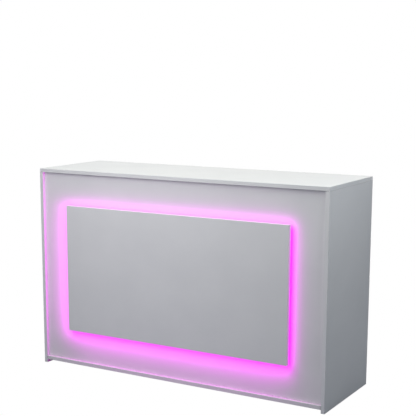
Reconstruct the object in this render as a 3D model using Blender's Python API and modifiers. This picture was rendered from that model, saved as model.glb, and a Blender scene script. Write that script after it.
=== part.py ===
"""Shop counter in white melamine-faced board, with a back-lit panel standing off its front.

Metres, +Z up. The customer stands at -Y and the staff at +Y, where the two bays are open.
The origin is on the floor, midway between the outermost faces. Left and right are the customer's.
"""

import math

import bmesh
import bpy
from mathutils import Matrix, Vector

# Overall sizes
WIDTH = 1.400
CARCASS_DEPTH = 0.450
HEIGHT = 0.900
BOARD = 0.016
BOARD_ROUND = 0.0008
SEAT = 0.0003

# Base
GLIDE_HEIGHT = 0.004
GLIDE_LET = 0.0025
GLIDE_RADIUS = 0.006
GLIDE_NAIL_RADIUS = 0.0012
GLIDE_NAIL_LENGTH = 0.016
GLIDE_INSET = 0.040
FLOOR_CLEARANCE = 0.017
FOOT_TOP_RADIUS = 0.020
FOOT_BASE_RADIUS = 0.015
FOOT_INSET = 0.070

# Lit front
FRONT_RECESS = 0.013
SIDE_REVEAL = 0.143
TOP_REVEAL = 0.140
BOTTOM_REVEAL = 0.146
BATTEN_THICKNESS = 0.014
BATTEN_WIDTH = 0.025
BATTEN_INSET = 0.035
CORNER_RADIUS = 0.012
STRIP_THICKNESS = 0.0012
STRIP_WIDTH = 0.010
STRIP_END = 0.006
LED_SIDE = 0.005
LED_HEIGHT = 0.0016
LED_PITCH = 1 / 30

# Bays and shelves
DIVIDER_SETBACK = 0.010
SHELF_TOP = 0.470
SHELF_SETBACK = 0.040
SHELF_CLEARANCE = 0.001
PIN_INSET = 0.050
PIN_PEG_RADIUS = 0.0022
PIN_PEG_LENGTH = 0.0065
PIN_PLATE_LENGTH = 0.010
PIN_PLATE_WIDTH = 0.010
PIN_PLATE_THICKNESS = 0.0022
PIN_FLANGE_HEIGHT = 0.009
PIN_FLANGE_THICKNESS = 0.0016
HOLE_RADIUS = 0.0025
HOLE_DEPTH = 0.0072
HOLE_PITCH = 0.032
HOLE_ROWS = 5

# Knock-down fittings
CAM_RADIUS = 0.0072
CAM_HEIGHT = 0.0122
CAM_EDGE_DISTANCE = 0.024
CAM_SLOT_WIDTH = 0.0078
CAM_DRIVE_LENGTH = 0.0080
CAM_DRIVE_WIDTH = 0.0014
CAM_DRIVE_DEPTH = 0.0022
BOLT_THREAD_RADIUS = 0.0026
BOLT_THREAD_LENGTH = 0.0105
BOLT_COLLAR_RADIUS = 0.0035
BOLT_COLLAR_LENGTH = 0.0120
BOLT_NECK_RADIUS = 0.0020
BOLT_NECK_LENGTH = 0.0085
BOLT_HEAD_RADIUS = 0.0032
BOLT_HEAD_LENGTH = 0.0055
BOLT_BORE_RADIUS = 0.0040
FITTING_INSET = 0.055
DOWEL_RADIUS = 0.0040
DOWEL_REACH = 0.0100
DOWEL_ROOT = 0.0060
DOWEL_INSET = 0.110

# Electrics under the worktop
LEAD_RADIUS = 0.0020
LEAD_DROP = 0.0090
LEAD_BEND = 0.030
BEND_RADIUS = 0.018
TIGHT_BEND_RADIUS = 0.0060
TIP_BEND_RADIUS = 0.0035
CONTROLLER_LENGTH = 0.062
CONTROLLER_DEPTH = 0.035
CONTROLLER_HEIGHT = 0.023
CONTROLLER_SETBACK = 0.030
CONTROLLER_ROUND = 0.0020
KEY_RADIUS = 0.0040
KEY_PROUD = 0.0020
KEY_WALL = 0.0020
KEY_FLANGE_RADIUS = 0.0050
KEY_FLANGE_THICKNESS = 0.0010
KEY_TRAVEL = 0.0008
KEY_PITCH = 0.016
KEY_DOME = 0.0007
DRIVER_LENGTH = 0.140
DRIVER_DEPTH = 0.045
DRIVER_HEIGHT = 0.028
DRIVER_ROUND = 0.0030
LUG_LENGTH = 0.012
LUG_WIDTH = 0.022
LUG_THICKNESS = 0.003
SCREW_RADIUS = 0.0017
SCREW_LENGTH = 0.0120
SCREW_HEAD_RADIUS = 0.0036
SCREW_HEAD_HEIGHT = 0.0022
SUPPLY_GAP = 0.090
INLET_WIDTH = 0.0170
INLET_HEIGHT = 0.0090
INLET_DEPTH = 0.0120
INLET_PIN_RADIUS = 0.0012
INLET_PIN_LENGTH = 0.0090
INLET_PIN_PITCH = 0.0086
GROMMET_FLANGE_RADIUS = 0.0090
GROMMET_FLANGE_THICKNESS = 0.0015
GROMMET_SLEEVE_RADIUS = 0.0050
GROMMET_OFFSET = 0.0080
CLIP_LENGTH = 0.006
CLIP_WALL = 0.002
CLIP_FOOT = 0.006
CLIP_NAIL_RADIUS = 0.0018
CLIP_NAIL_HEAD = 0.0010

# Smoothness of round pieces
BORE_SIDES = 8
CAM_SIDES = 18
TURNED_SIDES = 20
BOLT_SIDES = 10
LEAD_STEPS = 5
CORNER_STEPS = 5
OVERRUN = 0.001

# Places that follow from the sizes
PROUD = BATTEN_THICKNESS + BOARD + 2 * SEAT - FRONT_RECESS
FRONT_Y = (PROUD - CARCASS_DEPTH) / 2
REAR_Y = FRONT_Y + CARCASS_DEPTH
UNDERTOP_Z = HEIGHT - BOARD
SIDE_FOOT_Z = GLIDE_HEIGHT + SEAT - GLIDE_LET
SIDE_TOP_Z = UNDERTOP_Z - SEAT
FLOOR_BOARD_TOP = FLOOR_CLEARANCE + BOARD
INNER_X = WIDTH / 2 - BOARD
INFILL_X = INNER_X - SEAT
INFILL_LOW = FLOOR_BOARD_TOP + SEAT
INFILL_HIGH = UNDERTOP_Z - SEAT
FRONT_FACE_Y = FRONT_Y + FRONT_RECESS
FRONT_BACK_Y = FRONT_FACE_Y + BOARD
FRONT_MID_Y = FRONT_FACE_Y + BOARD / 2
LIT_X = INNER_X - SIDE_REVEAL
LIT_LOW = FLOOR_BOARD_TOP + BOTTOM_REVEAL
LIT_HIGH = UNDERTOP_Z - TOP_REVEAL
LIT_FACE_Y = FRONT_Y - PROUD
BATTEN_Y = FRONT_FACE_Y - SEAT - BATTEN_THICKNESS / 2
BATTEN_X = LIT_X - BATTEN_INSET
BATTEN_LOW = LIT_LOW + BATTEN_INSET
BATTEN_HIGH = LIT_HIGH - BATTEN_INSET
SHELF_LOW = SHELF_TOP - BOARD
SHELF_FRONT_Y = FRONT_BACK_Y + SHELF_CLEARANCE
SHELF_REAR_Y = REAR_Y - SHELF_SETBACK
PIN_Z = SHELF_LOW - SEAT - PIN_PEG_RADIUS
PIN_ROWS_Y = (SHELF_FRONT_Y + PIN_INSET, SHELF_REAR_Y - PIN_INSET)
TOP_FITTING_Y = (FRONT_BACK_Y + FITTING_INSET, REAR_Y - FITTING_INSET)
FLOOR_FITTING_Y = (FRONT_Y + FITTING_INSET, REAR_Y - FITTING_INSET)
TOP_DOWEL_Y = (FRONT_BACK_Y + DOWEL_INSET, REAR_Y - DOWEL_INSET)
FLOOR_DOWEL_Y = (FRONT_Y + DOWEL_INSET, REAR_Y - DOWEL_INSET)
FRONT_DOWEL_X = (-INNER_X / 2, INNER_X / 2)
FRONT_DOWEL_Z = (INFILL_LOW + DOWEL_INSET, INFILL_HIGH - DOWEL_INSET)
DOWEL_HOLE_RADIUS = DOWEL_RADIUS + SEAT
DOWEL_HOLE_DEPTH = DOWEL_REACH + SEAT
CAM_BORE_RADIUS = CAM_RADIUS + SEAT
CAM_BORE_DEPTH = CAM_HEIGHT + SEAT
BOLT_HOLE_RADIUS = BOLT_THREAD_RADIUS + SEAT
BOLT_HOLE_DEPTH = BOLT_THREAD_LENGTH + SEAT
BOLT_REACH = BOLT_COLLAR_LENGTH + BOLT_NECK_LENGTH + BOLT_HEAD_LENGTH
STRIP_START_X = BATTEN_X - CORNER_RADIUS - STRIP_END
STRIP_FINISH_Z = BATTEN_HIGH - CORNER_RADIUS - STRIP_END
GROMMET_X = STRIP_START_X + GROMMET_OFFSET + LEAD_RADIUS
GROMMET_Z = BATTEN_HIGH + SEAT + GROMMET_SLEEVE_RADIUS + SEAT
LEAD_Z = UNDERTOP_Z - LEAD_DROP
DROP_Y = FRONT_BACK_Y + LEAD_DROP
ELECTRICS_Y = REAR_Y - CONTROLLER_SETBACK - CONTROLLER_DEPTH / 2
CONTROLLER_X = GROMMET_X - LEAD_BEND - CONTROLLER_LENGTH / 2
DRIVER_X = CONTROLLER_X - CONTROLLER_LENGTH / 2 - SUPPLY_GAP - DRIVER_LENGTH / 2
KEY_FACE_Y = ELECTRICS_Y + CONTROLLER_DEPTH / 2
KEY_Z = UNDERTOP_Z - SEAT - CONTROLLER_HEIGHT / 2
KEY_ROOT = -(KEY_WALL + SEAT + KEY_FLANGE_THICKNESS)
LUG_HOLE_RADIUS = SCREW_RADIUS + SEAT
LUG_LOW = UNDERTOP_Z - SEAT - LUG_THICKNESS
DRIVER_SCREW_X = (DRIVER_X - (DRIVER_LENGTH + LUG_LENGTH) / 2, DRIVER_X + (DRIVER_LENGTH + LUG_LENGTH) / 2)

WAYS = {"+X": Vector((1, 0, 0)), "-X": Vector((-1, 0, 0)), "+Y": Vector((0, 1, 0)),
        "-Y": Vector((0, -1, 0)), "+Z": Vector((0, 0, 1)), "-Z": Vector((0, 0, -1))}


def clear_scene():
    for obj in list(bpy.data.objects):
        bpy.data.objects.remove(obj, do_unlink=True)


def new_collection(name):
    collection = bpy.data.collections.new(name)
    bpy.context.scene.collection.children.link(collection)
    return collection


def new_material(name, colour, roughness, metallic=0.0):
    material = bpy.data.materials.new(name)
    material.use_nodes = True
    shader = material.node_tree.nodes["Principled BSDF"]
    shader.inputs["Base Color"].default_value = (*colour, 1.0)
    shader.inputs["Roughness"].default_value = roughness
    shader.inputs["Metallic"].default_value = metallic
    return material


clear_scene()
PARTS = new_collection("shop_counter")
CUTTERS = new_collection("cutters")
ROOT = bpy.data.objects.new("counter_origin", None)
PARTS.objects.link(ROOT)
MELAMINE = new_material("white_melamine", (0.80, 0.81, 0.81), 0.42)
RAW_BATTEN = new_material("batten_board", (0.62, 0.50, 0.36), 0.75)
STRIP = new_material("led_strip", (0.95, 0.30, 0.95), 0.35)
ZINC = new_material("zinc_fitting", (0.60, 0.61, 0.62), 0.38, 0.9)
NICKEL = new_material("nickel_pin", (0.72, 0.71, 0.68), 0.28, 1.0)
DARK_CASE = new_material("dark_case", (0.03, 0.03, 0.035), 0.45)
PALE_CASE = new_material("pale_case", (0.78, 0.78, 0.77), 0.40)
KEY_RUBBER = new_material("key_rubber", (0.16, 0.16, 0.17), 0.60)
LEAD_PVC = new_material("lead_pvc", (0.74, 0.74, 0.73), 0.50)
GLIDE_PLASTIC = new_material("glide_plastic", (0.12, 0.12, 0.12), 0.55)


def add_object(name, data, material=None, cutter=False):
    """A named object in the parts collection, or a hidden helper among the cutters."""
    obj = bpy.data.objects.new(name, data)
    if cutter:
        CUTTERS.objects.link(obj)
        obj.hide_render = True
        obj.display_type = "WIRE"
    else:
        PARTS.objects.link(obj)
        obj.parent = ROOT
        data.materials.append(material)
    return obj


def mesh_from(bm, name, smooth=False):
    mesh = bpy.data.meshes.new(name)
    bm.to_mesh(mesh)
    bm.free()
    if smooth:
        mesh.shade_smooth()
        mesh.set_sharp_from_angle(angle=math.radians(35))
    return mesh


def add_box(bm, low, high):
    low, high = Vector(low), Vector(high)
    size = Matrix.Diagonal((*(high - low), 1.0))
    return bmesh.ops.create_cube(bm, size=1.0, matrix=Matrix.Translation((low + high) / 2) @ size)


def add_rod(bm, start, way, length, radius, sides=BORE_SIDES):
    """A capped cylinder from start, along way."""
    turn = way.to_track_quat("Z", "Y").to_matrix().to_4x4()
    middle = Vector(start) + way * (length / 2)
    bmesh.ops.create_cone(bm, cap_ends=True, segments=sides, radius1=radius, radius2=radius,
                          depth=length, matrix=Matrix.Translation(middle) @ turn)


def boolean(obj, operation, helper):
    modifier = obj.modifiers.new(helper.name, "BOOLEAN")
    modifier.operation = operation
    modifier.object = helper
    modifier.solver = "EXACT"


def drill(obj, label, holes, sides=BORE_SIDES):
    """Cuts blind round holes; each is (mouth, way in, radius, depth)."""
    bm = bmesh.new()
    for mouth, way, radius, depth in holes:
        add_rod(bm, Vector(mouth) - way * OVERRUN, way, depth + OVERRUN, radius, sides)
    name = f"{obj.name}_{label}"
    boolean(obj, "DIFFERENCE", add_object(name, mesh_from(bm, name), cutter=True))


def add_dowels(obj, dowels):
    """Dowels glued into a board's edge, which stand out of it; each is (place on the edge, way out)."""
    bm = bmesh.new()
    for place, way in dowels:
        add_rod(bm, Vector(place) - way * DOWEL_ROOT, way, DOWEL_ROOT + DOWEL_REACH, DOWEL_RADIUS)
    name = f"{obj.name}_dowels"
    boolean(obj, "UNION", add_object(name, mesh_from(bm, name), cutter=True))


def dowel_holes(places, way):
    return [(place, way, DOWEL_HOLE_RADIUS, DOWEL_HOLE_DEPTH) for place in places]


def make_board(name, low, high, material=MELAMINE, rounding=BOARD_ROUND):
    """A flat board with its long edges eased, as edging tape is."""
    low, high = Vector(low), Vector(high)
    bm = bmesh.new()
    add_box(bm, -(high - low) / 2, (high - low) / 2)
    obj = add_object(name, mesh_from(bm, name), material)
    obj.location = (low + high) / 2
    bevel = obj.modifiers.new("eased_edges", "BEVEL")
    bevel.width = rounding
    bevel.segments = 1
    return obj


def make_turned(name, profile, material, place, way, sides=TURNED_SIDES):
    """A turned piece: (radius, height) points run down its outside, with height along way."""
    mesh = bpy.data.meshes.new(name)
    closed = profile[0][0] > 0
    edges = [(i, i + 1) for i in range(len(profile) - 1)]
    if closed:
        edges.append((len(profile) - 1, 0))
    mesh.from_pydata([(radius, 0.0, height) for radius, height in profile], edges, [])
    obj = add_object(name, mesh, material)
    obj.location = place
    obj.rotation_euler = way.to_track_quat("Z", "Y").to_euler()
    screw = obj.modifiers.new("turned", "SCREW")
    screw.steps = sides
    screw.render_steps = sides
    screw.use_merge_vertices = True
    screw.merge_threshold = 0.00001
    screw.use_smooth_shade = False
    return obj


def filleted_route(corners):
    """Points along straight runs joined by round bends; each corner is (place, bend radius)."""
    places = [Vector(place) for place, _ in corners]
    line = [places[0]]
    for before, corner, after, (_, radius) in zip(places, places[1:], places[2:], corners[1:]):
        back, on = (before - corner).normalized(), (after - corner).normalized()
        half = back.angle(on) / 2
        centre = corner + (back + on).normalized() * radius / math.sin(half)
        first = corner + back * radius / math.tan(half) - centre
        last = corner + on * radius / math.tan(half) - centre
        sweep = first.angle(last)
        for step in range(LEAD_STEPS + 1):
            t = step / LEAD_STEPS
            turned = first * math.sin((1 - t) * sweep) + last * math.sin(t * sweep)
            line.append(centre + turned / math.sin(sweep))
    return [*line, places[-1]]


def make_lead(name, corners):
    """A round lead of even thickness, with closed ends, along a route of runs and bends."""
    curve = bpy.data.curves.new(name, "CURVE")
    curve.dimensions = "3D"
    curve.bevel_depth = LEAD_RADIUS
    curve.bevel_resolution = 2
    curve.use_fill_caps = True
    line = filleted_route(corners)
    spline = curve.splines.new("POLY")
    spline.points.add(len(line) - 1)
    for point, place in zip(spline.points, line):
        point.co = (*place, 1.0)
    return add_object(name, curve, LEAD_PVC)


def sides_of_counter():
    """(name, sign of X, way from the inner face into the panel) of the two side panels."""
    return (("left", -1, WAYS["-X"]), ("right", 1, WAYS["+X"]))


def shelf_hole_grid(x, way):
    """Two columns of shelf holes at 32 mm steps, centred on the row that carries the shelf."""
    middle = (HOLE_ROWS - 1) / 2
    return [((x, y, PIN_Z + (row - middle) * HOLE_PITCH), way, HOLE_RADIUS, HOLE_DEPTH)
            for y in PIN_ROWS_Y for row in range(HOLE_ROWS)]


def make_worktop():
    top = make_board("worktop", (-WIDTH / 2, FRONT_Y, UNDERTOP_Z), (WIDTH / 2, REAR_Y, HEIGHT))
    up = WAYS["+Z"]
    rail_x = WIDTH / 2 - BOARD / 2
    bolts = [((sign * rail_x, y, UNDERTOP_Z), up, BOLT_HOLE_RADIUS, BOLT_HOLE_DEPTH)
             for sign in (-1, 1) for y in TOP_FITTING_Y]
    places = [(sign * rail_x, y, UNDERTOP_Z) for sign in (-1, 1) for y in TOP_DOWEL_Y]
    places += [(x, FRONT_MID_Y, UNDERTOP_Z) for x in FRONT_DOWEL_X]
    places += [(0, y, UNDERTOP_Z) for y in TOP_DOWEL_Y]
    screws = [((x, ELECTRICS_Y, UNDERTOP_Z), up, LUG_HOLE_RADIUS, SCREW_LENGTH) for x in DRIVER_SCREW_X]
    drill(top, "holes", bolts + screws + dowel_holes(places, up))


def make_side_panels():
    """Full-height sides: shelf holes, cam bores near the top, and holes for the panels between them."""
    for name, sign, outward in sides_of_counter():
        inner = sign * INNER_X
        outer = sign * WIDTH / 2
        middle = sign * (WIDTH / 2 - BOARD / 2)
        side = make_board(f"side_panel_{name}", (min(inner, outer), FRONT_Y, SIDE_FOOT_Z),
                          (max(inner, outer), REAR_Y, SIDE_TOP_Z))
        add_dowels(side, [((middle, y, SIDE_TOP_Z), WAYS["+Z"]) for y in TOP_DOWEL_Y])
        cam_z = SIDE_TOP_Z - CAM_EDGE_DISTANCE
        drill(side, "cam_bores", [((inner, y, cam_z), outward, CAM_BORE_RADIUS, CAM_BORE_DEPTH)
                                  for y in TOP_FITTING_Y], CAM_SIDES)
        drill(side, "bolt_bores", [((middle, y, SIDE_TOP_Z), WAYS["-Z"], BOLT_BORE_RADIUS,
                                    CAM_EDGE_DISTANCE) for y in TOP_FITTING_Y])
        floor_z = FLOOR_CLEARANCE + BOARD / 2
        bolts = [((inner, y, floor_z), outward, BOLT_HOLE_RADIUS, BOLT_HOLE_DEPTH)
                 for y in FLOOR_FITTING_Y]
        places = [(inner, y, floor_z) for y in FLOOR_DOWEL_Y]
        places += [(inner, FRONT_MID_Y, z) for z in FRONT_DOWEL_Z]
        drill(side, "face_holes", bolts + dowel_holes(places, outward) + shelf_hole_grid(inner, outward))
        feet = [(middle, y, SIDE_FOOT_Z) for y in glide_rows()]
        drill(side, "glide_bores", [(foot, WAYS["+Z"], GLIDE_RADIUS + SEAT, GLIDE_LET) for foot in feet],
              TURNED_SIDES)
        drill(side, "nail_holes", [(foot, WAYS["+Z"], GLIDE_NAIL_RADIUS + SEAT, GLIDE_LET + GLIDE_NAIL_LENGTH)
                                   for foot in feet])


def make_bottom_panel():
    panel = make_board("bottom_panel", (-INFILL_X, FRONT_Y, FLOOR_CLEARANCE),
                       (INFILL_X, REAR_Y, FLOOR_BOARD_TOP))
    floor_z = FLOOR_CLEARANCE + BOARD / 2
    add_dowels(panel, [((sign * INFILL_X, y, floor_z), way)
                       for _, sign, way in sides_of_counter() for y in FLOOR_DOWEL_Y])
    cams = [((sign * (INFILL_X - CAM_EDGE_DISTANCE), y, FLOOR_CLEARANCE), WAYS["+Z"], CAM_BORE_RADIUS,
             CAM_BORE_DEPTH) for sign in (-1, 1) for y in FLOOR_FITTING_Y]
    drill(panel, "cam_bores", cams, CAM_SIDES)
    drill(panel, "bolt_bores", [((sign * INFILL_X, y, floor_z), -way, BOLT_BORE_RADIUS, CAM_EDGE_DISTANCE)
                                for _, sign, way in sides_of_counter() for y in FLOOR_FITTING_Y])
    places = [(x, FRONT_MID_Y, FLOOR_BOARD_TOP) for x in FRONT_DOWEL_X]
    places += [(0, y, FLOOR_BOARD_TOP) for y in TOP_DOWEL_Y]
    drill(panel, "dowel_holes", dowel_holes(places, WAYS["-Z"]))


def make_front_panel():
    """The recessed board that closes the customer's side and carries the lit panel."""
    panel = make_board("front_panel", (-INFILL_X, FRONT_FACE_Y, INFILL_LOW),
                       (INFILL_X, FRONT_BACK_Y, INFILL_HIGH))
    dowels = [((sign * INFILL_X, FRONT_MID_Y, z), way)
              for _, sign, way in sides_of_counter() for z in FRONT_DOWEL_Z]
    dowels += [((x, FRONT_MID_Y, INFILL_HIGH), WAYS["+Z"]) for x in FRONT_DOWEL_X]
    dowels += [((x, FRONT_MID_Y, INFILL_LOW), WAYS["-Z"]) for x in FRONT_DOWEL_X]
    add_dowels(panel, dowels)
    drill(panel, "lead_hole", [((GROMMET_X, FRONT_BACK_Y, GROMMET_Z), WAYS["-Y"],
                                GROMMET_SLEEVE_RADIUS + SEAT, BOARD + OVERRUN)], CAM_SIDES)


def make_divider():
    """The upright between the bays, which carries the worktop's rear edge."""
    divider = make_board("centre_divider", (-BOARD / 2, FRONT_BACK_Y + SEAT, INFILL_LOW),
                         (BOARD / 2, REAR_Y - DIVIDER_SETBACK, INFILL_HIGH))
    dowels = [((0, y, INFILL_HIGH), WAYS["+Z"]) for y in TOP_DOWEL_Y]
    dowels += [((0, y, INFILL_LOW), WAYS["-Z"]) for y in TOP_DOWEL_Y]
    add_dowels(divider, dowels)
    drill(divider, "shelf_holes", shelf_hole_grid(-BOARD / 2, WAYS["+X"])
          + shelf_hole_grid(BOARD / 2, WAYS["-X"]))


def make_shelves():
    near, far = BOARD / 2 + SHELF_CLEARANCE, INNER_X - SHELF_CLEARANCE
    for name, sign, _ in sides_of_counter():
        low_x, high_x = sorted((sign * near, sign * far))
        make_board(f"shelf_{name}", (low_x, SHELF_FRONT_Y, SHELF_LOW), (high_x, SHELF_REAR_Y, SHELF_TOP))


def make_shelf_pin(name, x, y, way):
    """A plug-in shelf support: a peg in the board, a flange against it and a flat plate under the shelf."""
    bm = bmesh.new()
    top = PIN_PEG_RADIUS
    half = PIN_PLATE_WIDTH / 2
    add_box(bm, (-half, SEAT, top - PIN_FLANGE_HEIGHT), (half, SEAT + PIN_FLANGE_THICKNESS, top))
    pin = add_object(name, mesh_from(bm, name), NICKEL)
    pin.location = (x, y, PIN_Z)
    pin.rotation_euler = (0, 0, math.atan2(-way.x, way.y))
    bm = bmesh.new()
    add_box(bm, (-half, SEAT + PIN_FLANGE_THICKNESS / 2, top - PIN_PLATE_THICKNESS),
            (half, SEAT + PIN_PLATE_LENGTH, top))
    plate = add_object(f"{name}_plate", mesh_from(bm, name), cutter=True)
    bm = bmesh.new()
    add_rod(bm, (0, SEAT + PIN_FLANGE_THICKNESS / 2, 0), WAYS["-Y"],
            PIN_PEG_LENGTH + PIN_FLANGE_THICKNESS / 2, PIN_PEG_RADIUS)
    peg = add_object(f"{name}_peg", mesh_from(bm, name), cutter=True)
    for helper in (plate, peg):
        helper.parent = pin
        boolean(pin, "UNION", helper)


def make_shelf_pins():
    for name, sign, outward in sides_of_counter():
        for row, y in zip(("front", "rear"), PIN_ROWS_Y):
            make_shelf_pin(f"shelf_pin_{name}_outer_{row}", sign * INNER_X, y, -outward)
            make_shelf_pin(f"shelf_pin_{name}_inner_{row}", sign * BOARD / 2, y, outward)


def make_cam(name, mouth, way_out, to_bolt):
    """A cam disc, open at its foot and on one side for the bolt's head, with a cross-shaped drive on top."""
    bm = bmesh.new()
    add_rod(bm, (0, 0, -CAM_HEIGHT), WAYS["+Z"], CAM_HEIGHT, CAM_RADIUS, CAM_SIDES)
    cam = add_object(name, mesh_from(bm, name, smooth=True), ZINC)
    third = way_out.cross(to_bolt)
    turn = Matrix((to_bolt, third, way_out)).transposed().to_4x4()
    cam.matrix_world = Matrix.Translation(mouth) @ turn
    slot_top = -(BOARD / 2 - CAM_SLOT_WIDTH / 2)
    bm = bmesh.new()
    add_box(bm, (-CAM_SLOT_WIDTH / 2, -CAM_SLOT_WIDTH / 2, -CAM_HEIGHT - OVERRUN),
            (CAM_RADIUS + OVERRUN, CAM_SLOT_WIDTH / 2, slot_top))
    cutters = [("slot", bm)]
    reach, half = CAM_DRIVE_LENGTH / 2, CAM_DRIVE_WIDTH / 2
    for label, x, y in (("drive_long", reach, half), ("drive_cross", half, reach)):
        bm = bmesh.new()
        add_box(bm, (-x, -y, -CAM_DRIVE_DEPTH), (x, y, OVERRUN))
        cutters.append((label, bm))
    for label, bm in cutters:
        cutter = add_object(f"{name}_{label}", mesh_from(bm, f"{name}_{label}"), cutter=True)
        cutter.parent = cam
        boolean(cam, "DIFFERENCE", cutter)


def make_cam_bolt(name, place, way):
    """A turned bolt: its thread is in one board, and its collar, neck and head reach into the other's cam."""
    thread_top = -SEAT
    neck = BOLT_COLLAR_LENGTH
    head = neck + BOLT_NECK_LENGTH
    profile = [(0, BOLT_REACH), (BOLT_HEAD_RADIUS, BOLT_REACH), (BOLT_HEAD_RADIUS, head),
               (BOLT_NECK_RADIUS, head), (BOLT_NECK_RADIUS, neck), (BOLT_COLLAR_RADIUS, neck),
               (BOLT_COLLAR_RADIUS, 0), (BOLT_THREAD_RADIUS, thread_top),
               (BOLT_THREAD_RADIUS, -BOLT_THREAD_LENGTH), (0, -BOLT_THREAD_LENGTH)]
    make_turned(name, profile, ZINC, place, way, BOLT_SIDES)


def make_fittings():
    """Cams near the sides' tops grip the worktop's bolts, and cams under the bottom panel grip the sides'."""
    cam_z = SIDE_TOP_Z - CAM_EDGE_DISTANCE
    floor_z = FLOOR_CLEARANCE + BOARD / 2
    for name, sign, outward in sides_of_counter():
        for row, top_y, floor_y in zip(("front", "rear"), TOP_FITTING_Y, FLOOR_FITTING_Y):
            make_cam(f"cam_top_{name}_{row}", (sign * INNER_X, top_y, cam_z), -outward, WAYS["+Z"])
            make_cam_bolt(f"cam_bolt_top_{name}_{row}",
                          (sign * (WIDTH / 2 - BOARD / 2), top_y, SIDE_TOP_Z), WAYS["-Z"])
            make_cam(f"cam_floor_{name}_{row}",
                     (sign * (INFILL_X - CAM_EDGE_DISTANCE), floor_y, FLOOR_CLEARANCE), WAYS["-Z"], outward)
            make_cam_bolt(f"cam_bolt_floor_{name}_{row}", (sign * INFILL_X, floor_y, floor_z), -outward)


def glide_rows():
    return (FRONT_Y + GLIDE_INSET, REAR_Y - GLIDE_INSET)


def make_feet():
    """Nail-in glides let into the sides' feet, and two turned feet under the middle of the bottom panel."""
    rim = GLIDE_HEIGHT / 4
    tip = GLIDE_HEIGHT + GLIDE_NAIL_LENGTH - SEAT
    glide = [(0, tip), (GLIDE_NAIL_RADIUS, tip), (GLIDE_NAIL_RADIUS, GLIDE_HEIGHT),
             (GLIDE_RADIUS, GLIDE_HEIGHT), (GLIDE_RADIUS, rim), (GLIDE_RADIUS - rim, 0), (0, 0)]
    for name, sign, _ in sides_of_counter():
        for row, y in zip(("front", "rear"), glide_rows()):
            make_turned(f"glide_{name}_{row}", glide, GLIDE_PLASTIC,
                        (sign * (WIDTH / 2 - BOARD / 2), y, 0), WAYS["+Z"])
    top = FLOOR_CLEARANCE - SEAT
    collar = top - FLOOR_CLEARANCE / 5
    foot = [(0, top), (FOOT_TOP_RADIUS, top), (FOOT_TOP_RADIUS, collar),
            (FOOT_BASE_RADIUS, collar), (FOOT_BASE_RADIUS, 0), (0, 0)]
    for row, y in (("front", FRONT_Y + FOOT_INSET), ("rear", REAR_Y - FOOT_INSET)):
        make_turned(f"centre_foot_{row}", foot, GLIDE_PLASTIC, (0, y, 0), WAYS["+Z"])


def make_batten(name, low, high, rounded_z=None):
    """A batten of the stand-off frame; its corners at rounded_z are round, for the strip to bend there."""
    low, high = Vector(low), Vector(high)
    batten = make_board(name, low, high, RAW_BATTEN)
    if rounded_z is None:
        return
    bm = bmesh.new()
    bm.from_mesh(batten.data)
    outer = rounded_z - batten.location.z
    corners = [e for e in bm.edges if all(abs(v.co.z - outer) < SEAT for v in e.verts)
               and abs(e.verts[0].co.x - e.verts[1].co.x) < SEAT]
    bmesh.ops.bevel(bm, geom=corners, offset=CORNER_RADIUS, segments=CORNER_STEPS, profile=0.5,
                    affect="EDGES")
    bm.to_mesh(batten.data)
    bm.free()


def make_lit_panel():
    """The stand-off panel, and the frame of battens that holds it clear of the front panel."""
    make_board("light_panel", (-LIT_X, LIT_FACE_Y, LIT_LOW), (LIT_X, LIT_FACE_Y + BOARD, LIT_HIGH))
    near, far = BATTEN_Y - BATTEN_THICKNESS / 2, BATTEN_Y + BATTEN_THICKNESS / 2
    low, high = BATTEN_LOW + BATTEN_WIDTH, BATTEN_HIGH - BATTEN_WIDTH
    make_batten("batten_bottom", (-BATTEN_X, near, BATTEN_LOW), (BATTEN_X, far, low), BATTEN_LOW)
    make_batten("batten_top", (-BATTEN_X, near, high), (BATTEN_X, far, BATTEN_HIGH), BATTEN_HIGH)
    for name, sign, _ in sides_of_counter():
        low_x, high_x = sorted((sign * BATTEN_X, sign * (BATTEN_X - BATTEN_WIDTH)))
        make_batten(f"batten_{name}", (low_x, near, low + SEAT), (high_x, far, high - SEAT))


def strip_line(offset):
    """(x, z) points this far from the battens, from the top right corner leftwards and round to it."""
    x, low, high = BATTEN_X + offset, BATTEN_LOW - offset, BATTEN_HIGH + offset
    radius = CORNER_RADIUS + offset
    line = [(STRIP_START_X, high)]
    for centre_x, centre_z, start in ((radius - x, high - radius, 90), (radius - x, low + radius, 180),
                                      (x - radius, low + radius, 270)):
        for step in range(CORNER_STEPS + 1):
            angle = math.radians(start + 90 * step / CORNER_STEPS)
            line.append((centre_x + radius * math.cos(angle), centre_z + radius * math.sin(angle)))
    return [*line, (x, STRIP_FINISH_Z)]


def add_lamps(bm, start, finish, outward):
    """A row of square light packages, evenly spaced and centred on a straight run of the strip."""
    run = Vector(finish) - Vector(start)
    count = int((run.length - LED_SIDE) / LED_PITCH)
    middle = (Vector(start) + Vector(finish)) / 2
    half = Vector((LED_SIDE, LED_SIDE, LED_SIDE)) / 2
    flat = Vector([0 if way else size for way, size in zip(outward, half)])
    for i in range(count + 1):
        foot = middle + run.normalized() * (i - count / 2) * LED_PITCH
        corners = (foot - flat, foot + flat + outward * (STRIP_THICKNESS / 2 + LED_HEIGHT))
        add_box(bm, [min(pair) for pair in zip(*corners)], [max(pair) for pair in zip(*corners)])


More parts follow.
